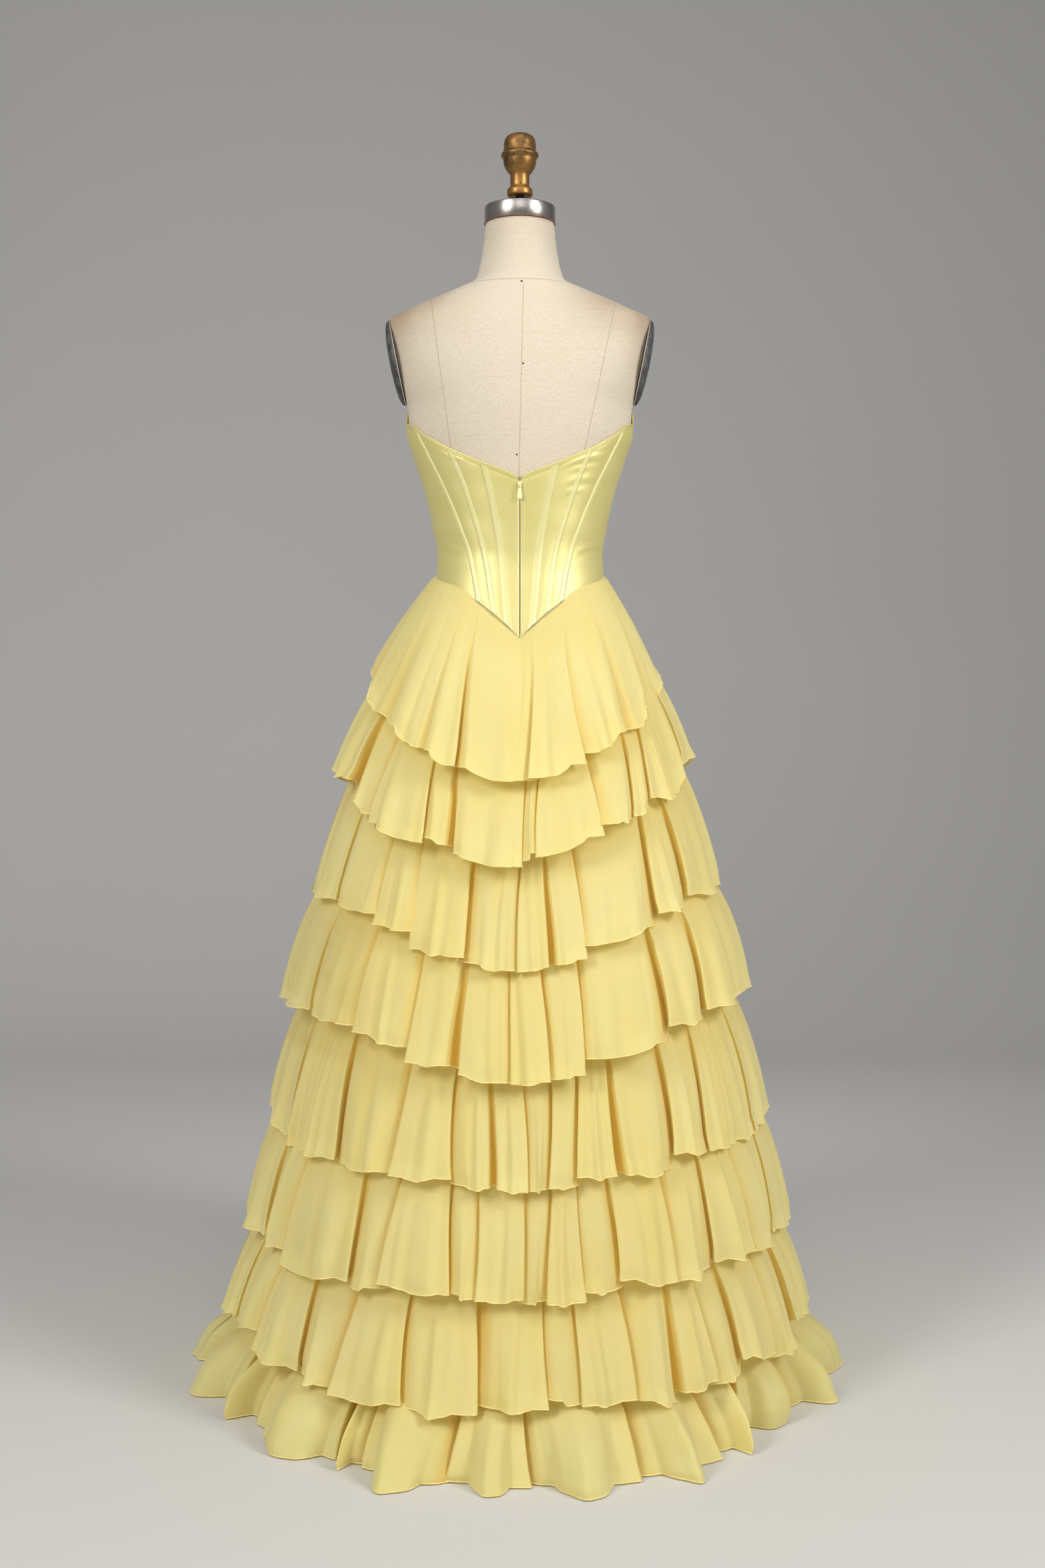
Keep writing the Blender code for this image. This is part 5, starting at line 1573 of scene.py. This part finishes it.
# The bridge and the pull's loop: half lengths and the like in mm, and the radii of their wires
BRIDGE_OUT = 3.0
BRIDGE_HALF = 3.3
BRIDGE_RADIUS = 0.75 * MM
LOOP_HALF_WIDE = 1.65
LOOP_HALF_HIGH = 3.0
LOOP_DROP = 2.7
LOOP_RADIUS = 0.5 * MM
PULL_THICKNESS = 1.0


def make_slider():
    """The painted slider with its bridge, and the stop above it."""
    deep = SLIDER_DEPTH / MM
    body = plate("zip_slider_body", SLIDER_OUTLINE, 0.0, deep, 0.5, finish("zip_paint"), GOWN)
    stands_for(body, "zip_metal", "zip_slider")
    turn = np.linspace(0, math.pi, 15)
    arch_y, arch_z = -BRIDGE_OUT * np.sin(turn) ** 0.6, BRIDGE_HALF * np.cos(turn)
    arch = np.stack([0 * turn, arch_y, arch_z], axis=-1) * MM
    arch = arch + np.array((0.0, slider_face() + 0.2 * MM, SLIDER_HEIGHT))
    across = np.broadcast_to((1.0, 0.0, 0.0), arch.shape)
    bridge = tube("zip_slider_bridge", arch, across, BRIDGE_RADIUS, finish("zip_paint"))
    stands_for(bridge, "zip_metal")
    outline = [(x * STOP_WIDE, z * STOP_HIGH + STOP_RISE) for x, z in SLIDER_OUTLINE]
    stop = plate("zip_top_stop", outline, 1.4, 2.6, 0.3, finish("zip_metal"), GOWN)
    stands_for(stop, "zip_metal")


def make_pull():
    """The pull, whose loop hangs from the slider's bridge."""
    axis = slider_face() - PULL_AXIS_OFF
    turn = np.linspace(0, math.tau, 33)[:-1]
    loop_x = LOOP_HALF_WIDE * np.sign(np.cos(turn)) * np.abs(np.cos(turn)) ** 0.5
    loop_z = -LOOP_DROP + LOOP_HALF_HIGH * np.sign(np.sin(turn)) * np.abs(np.sin(turn)) ** 0.6
    loop = np.stack([loop_x * MM, 0 * turn + axis, loop_z * MM + SLIDER_HEIGHT], axis=-1)
    outwards = np.broadcast_to((0.0, -1.0, 0.0), loop.shape)
    ring = tube("zip_pull_loop", loop, outwards, LOOP_RADIUS, finish("zip_paint"), closed=True)
    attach(ring, PULL)
    stands_for(ring, "zip_metal")
    near = -PULL_AXIS_OFF / MM - PULL_THICKNESS / 2
    far = near + PULL_THICKNESS
    drop = plate("zip_pull_drop", PULL_OUTLINE, near, far, 0.35, finish("zip_paint"), PULL)
    stands_for(drop, "zip_metal", "zip_pull")


# Stage

# The sweep: the floor's near and far ends, the radius of its rise, the backdrop's top, and the width
FLOOR_NEAR = -9.0
FLOOR_FAR = 2.4
SWEEP_RADIUS = 1.4
BACKDROP_TOP = 7.0
SWEEP_HALF_WIDTH = 9.0
AIR_TINT = (0.93, 0.95, 1.0, 1.0)
AIR_LIGHT = 0.24
Lamp = namedtuple("Lamp", "name place aim size power")
LIGHTS = table_of(
    Lamp,
    ("softbox_left", (-2.4, -2.7, 2.75), (0.0, 0.0, 1.6), (1.1, 1.7), 76),
    ("softbox_right", (2.7, -2.3, 2.65), (0.0, 0.0, 1.6), (1.1, 1.7), 58),
    ("front_fill", (0.1, -3.2, 2.8), (0.0, 0.0, 1.4), (1.6, 1.2), 15),
    ("top_light", (0.0, -1.2, 3.9), (0.0, 0.0, 1.2), (2.4, 1.6), 17),
    ("side_light", (2.0, -1.3, 2.0), (0.0, 0.0, 1.45), (0.5, 0.9), 15),
)
# The camera that was fitted to the photo: how far to the side it stands, and how far down it looks
CAMERA_X = 0.0038
CAMERA_DOWN = 2.05
LENS = 42.66
SENSOR_WIDTH = 36.0


def floor_finish(look):
    """Pale studio floor, with painted shade that darkens the backdrop upwards and to one side."""
    made = Finish("studio_floor")
    place = made.place()
    cloud = made.noise(place, 1.4, 2.0)
    up = made.part(place, "Z").rising(-0.6, 4.5)
    # Painted shade: the light's falloff, up the backdrop and towards +X
    falloff_shade = up * 0.5 + made.part(place, "X").rising(-2.4, 3.2) * (1.0 - up * 0.6) * 0.7
    tint = made.mix(look.floor, tuple(c * 0.96 for c in look.floor), cloud)
    rise = made.part(place, "Y").rising(1.2, 3.4)
    colour = made.mix(tint, tuple(c * 0.58 for c in look.floor), falloff_shade * rise)
    return made.surface(Base_Color=colour, Roughness=0.7 + cloud * 0.1)


def make_floor(look):
    """Floor and backdrop in one sweep."""
    rise = [
        (FLOOR_FAR + SWEEP_RADIUS * math.sin(turn), SWEEP_RADIUS - SWEEP_RADIUS * math.cos(turn))
        for turn in np.linspace(0.1, math.pi / 2, 14)
    ]
    profile = [(FLOOR_NEAR, 0.0), (FLOOR_FAR, 0.0), *rise, (FLOOR_FAR + SWEEP_RADIUS, BACKDROP_TOP)]
    across = np.linspace(-SWEEP_HALF_WIDTH, SWEEP_HALF_WIDTH, 13)
    points = [(x, y, z) for y, z in profile for x in across]
    mesh = bpy.data.meshes.new("floor_and_backdrop")
    mesh.from_pydata(points, [], grid_faces(len(profile), len(across), flip=True))
    mesh.shade_smooth()
    mesh.materials.append(floor_finish(look))
    floor = bpy.data.objects.new("floor_and_backdrop", mesh)
    bpy.context.scene.collection.objects.link(floor)


def make_lights(look):
    """Soft lights, and a little light from all round."""
    scene = bpy.context.scene
    world = bpy.data.worlds.new("studio")
    world.use_nodes = True
    air = world.node_tree.nodes["Background"].inputs
    air["Color"].default_value = AIR_TINT
    air["Strength"].default_value = AIR_LIGHT * look.light
    scene.world = world
    for light in LIGHTS:
        lamp = bpy.data.lights.new(light.name, "AREA")
        lamp.shape = "RECTANGLE"
        lamp.size, lamp.size_y = light.size
        lamp.energy = light.power * look.light
        thing = bpy.data.objects.new(light.name, lamp)
        thing.location = light.place
        aim = Vector(light.aim) - Vector(light.place)
        thing.rotation_euler = aim.to_track_quat("-Z", "Y").to_euler()
        scene.collection.objects.link(thing)


def make_camera(look):
    scene = bpy.context.scene
    camera = bpy.data.cameras.new("photo_camera")
    camera.sensor_width = SENSOR_WIDTH
    camera.lens = LENS
    thing = bpy.data.objects.new("photo_camera", camera)
    thing.location = (CAMERA_X, -look.camera_distance, look.camera_height)
    thing.rotation_euler = (math.radians(90 - CAMERA_DOWN), 0.0, 0.0)
    scene.collection.objects.link(thing)
    scene.camera = thing
    scene.view_settings.view_transform = "Standard"


# Operators, panel and settings

class GOWN_OT_form(bpy.types.Operator):
    """Make the linen form and its arm plates"""

    bl_idname = "gown.form"
    bl_label = "Form"

    def execute(self, context):
        make_form()
        make_arm_plates()
        return {"FINISHED"}


class GOWN_OT_fittings(bpy.types.Operator):
    """Make the neck cap, threaded stem, finial and pins"""

    bl_idname = "gown.fittings"
    bl_label = "Cap and finial"

    def execute(self, context):
        make_cap()
        make_finial()
        make_pins()
        return {"FINISHED"}


class GOWN_OT_stand(bpy.types.Operator):
    """Finish the plain pole and base"""

    bl_idname = "gown.stand"
    bl_label = "Stand"

    def execute(self, context):
        make_stand()
        return {"FINISHED"}


class GOWN_OT_bodice(bpy.types.Operator):
    """Make the satin panels"""

    bl_idname = "gown.bodice"
    bl_label = "Bodice"

    def execute(self, context):
        make_bodice()
        return {"FINISHED"}


class GOWN_OT_boning(bpy.types.Operator):
    """Make the raised tapes and their stitches"""

    bl_idname = "gown.boning"
    bl_label = "Boning tapes"

    def execute(self, context):
        make_boning()
        return {"FINISHED"}


class GOWN_OT_binding(bpy.types.Operator):
    """Make the piped top edge"""

    bl_idname = "gown.binding"
    bl_label = "Binding"

    def execute(self, context):
        make_binding()
        return {"FINISHED"}


class GOWN_OT_foundation(bpy.types.Operator):
    """Make the layer that carries the tiers"""

    bl_idname = "gown.foundation"
    bl_label = "Foundation"

    def execute(self, context):
        make_foundation()
        return {"FINISHED"}


class GOWN_OT_tiers(bpy.types.Operator):
    """Make the eight tiers of chiffon and their rolled hems"""

    bl_idname = "gown.tiers"
    bl_label = "Tiers"

    def execute(self, context):
        for number in range(len(TIERS)):
            make_tier(number)
        return {"FINISHED"}


class GOWN_OT_zip(bpy.types.Operator):
    """Make the zip's tape, teeth, slider and pull"""

    bl_idname = "gown.zip"
    bl_label = "Zip"

    def execute(self, context):
        make_chain()
        make_slider()
        make_pull()
        return {"FINISHED"}


class GOWN_OT_stage(bpy.types.Operator):
    """Make the floor, backdrop, lights and camera"""

    bl_idname = "gown.stage"
    bl_label = "Stage"

    def execute(self, context):
        look = context.scene.gown_stage
        make_floor(look)
        make_lights(look)
        make_camera(look)
        return {"FINISHED"}


STEPS = (
    GOWN_OT_stage, GOWN_OT_form, GOWN_OT_fittings, GOWN_OT_stand, GOWN_OT_bodice, GOWN_OT_boning,
    GOWN_OT_binding, GOWN_OT_foundation, GOWN_OT_tiers, GOWN_OT_zip,
)
SETTINGS = (("gown_cloth", ClothSettings), ("gown_form", FormSettings), ("gown_stage", StageSettings))


class GOWN_PT_panel(bpy.types.Panel):
    """Lists the gown's settings and the steps that make it."""

    bl_idname = "GOWN_PT_panel"
    bl_label = "Tiered Chiffon Gown"
    bl_space_type = "VIEW_3D"
    bl_region_type = "UI"
    bl_category = "Gown"

    def draw(self, context):
        for step in STEPS:
            self.layout.operator(step.bl_idname)
        for name, group in SETTINGS:
            box = self.layout.box()
            for key in group.__annotations__:
                box.prop(getattr(context.scene, name), key)


def register():
    for name, group in SETTINGS:
        bpy.utils.register_class(group)
        setattr(bpy.types.Scene, name, PointerProperty(type=group))
    for step in STEPS:
        bpy.utils.register_class(step)
    bpy.utils.register_class(GOWN_PT_panel)


def unregister():
    bpy.utils.unregister_class(GOWN_PT_panel)
    for step in reversed(STEPS):
        bpy.utils.unregister_class(step)
    for name, group in reversed(SETTINGS):
        delattr(bpy.types.Scene, name)
        bpy.utils.unregister_class(group)


def main():
    register()
    for step in STEPS:
        getattr(bpy.ops.gown, step.bl_idname.split(".")[1])()


if __name__ == "__main__":
    main()
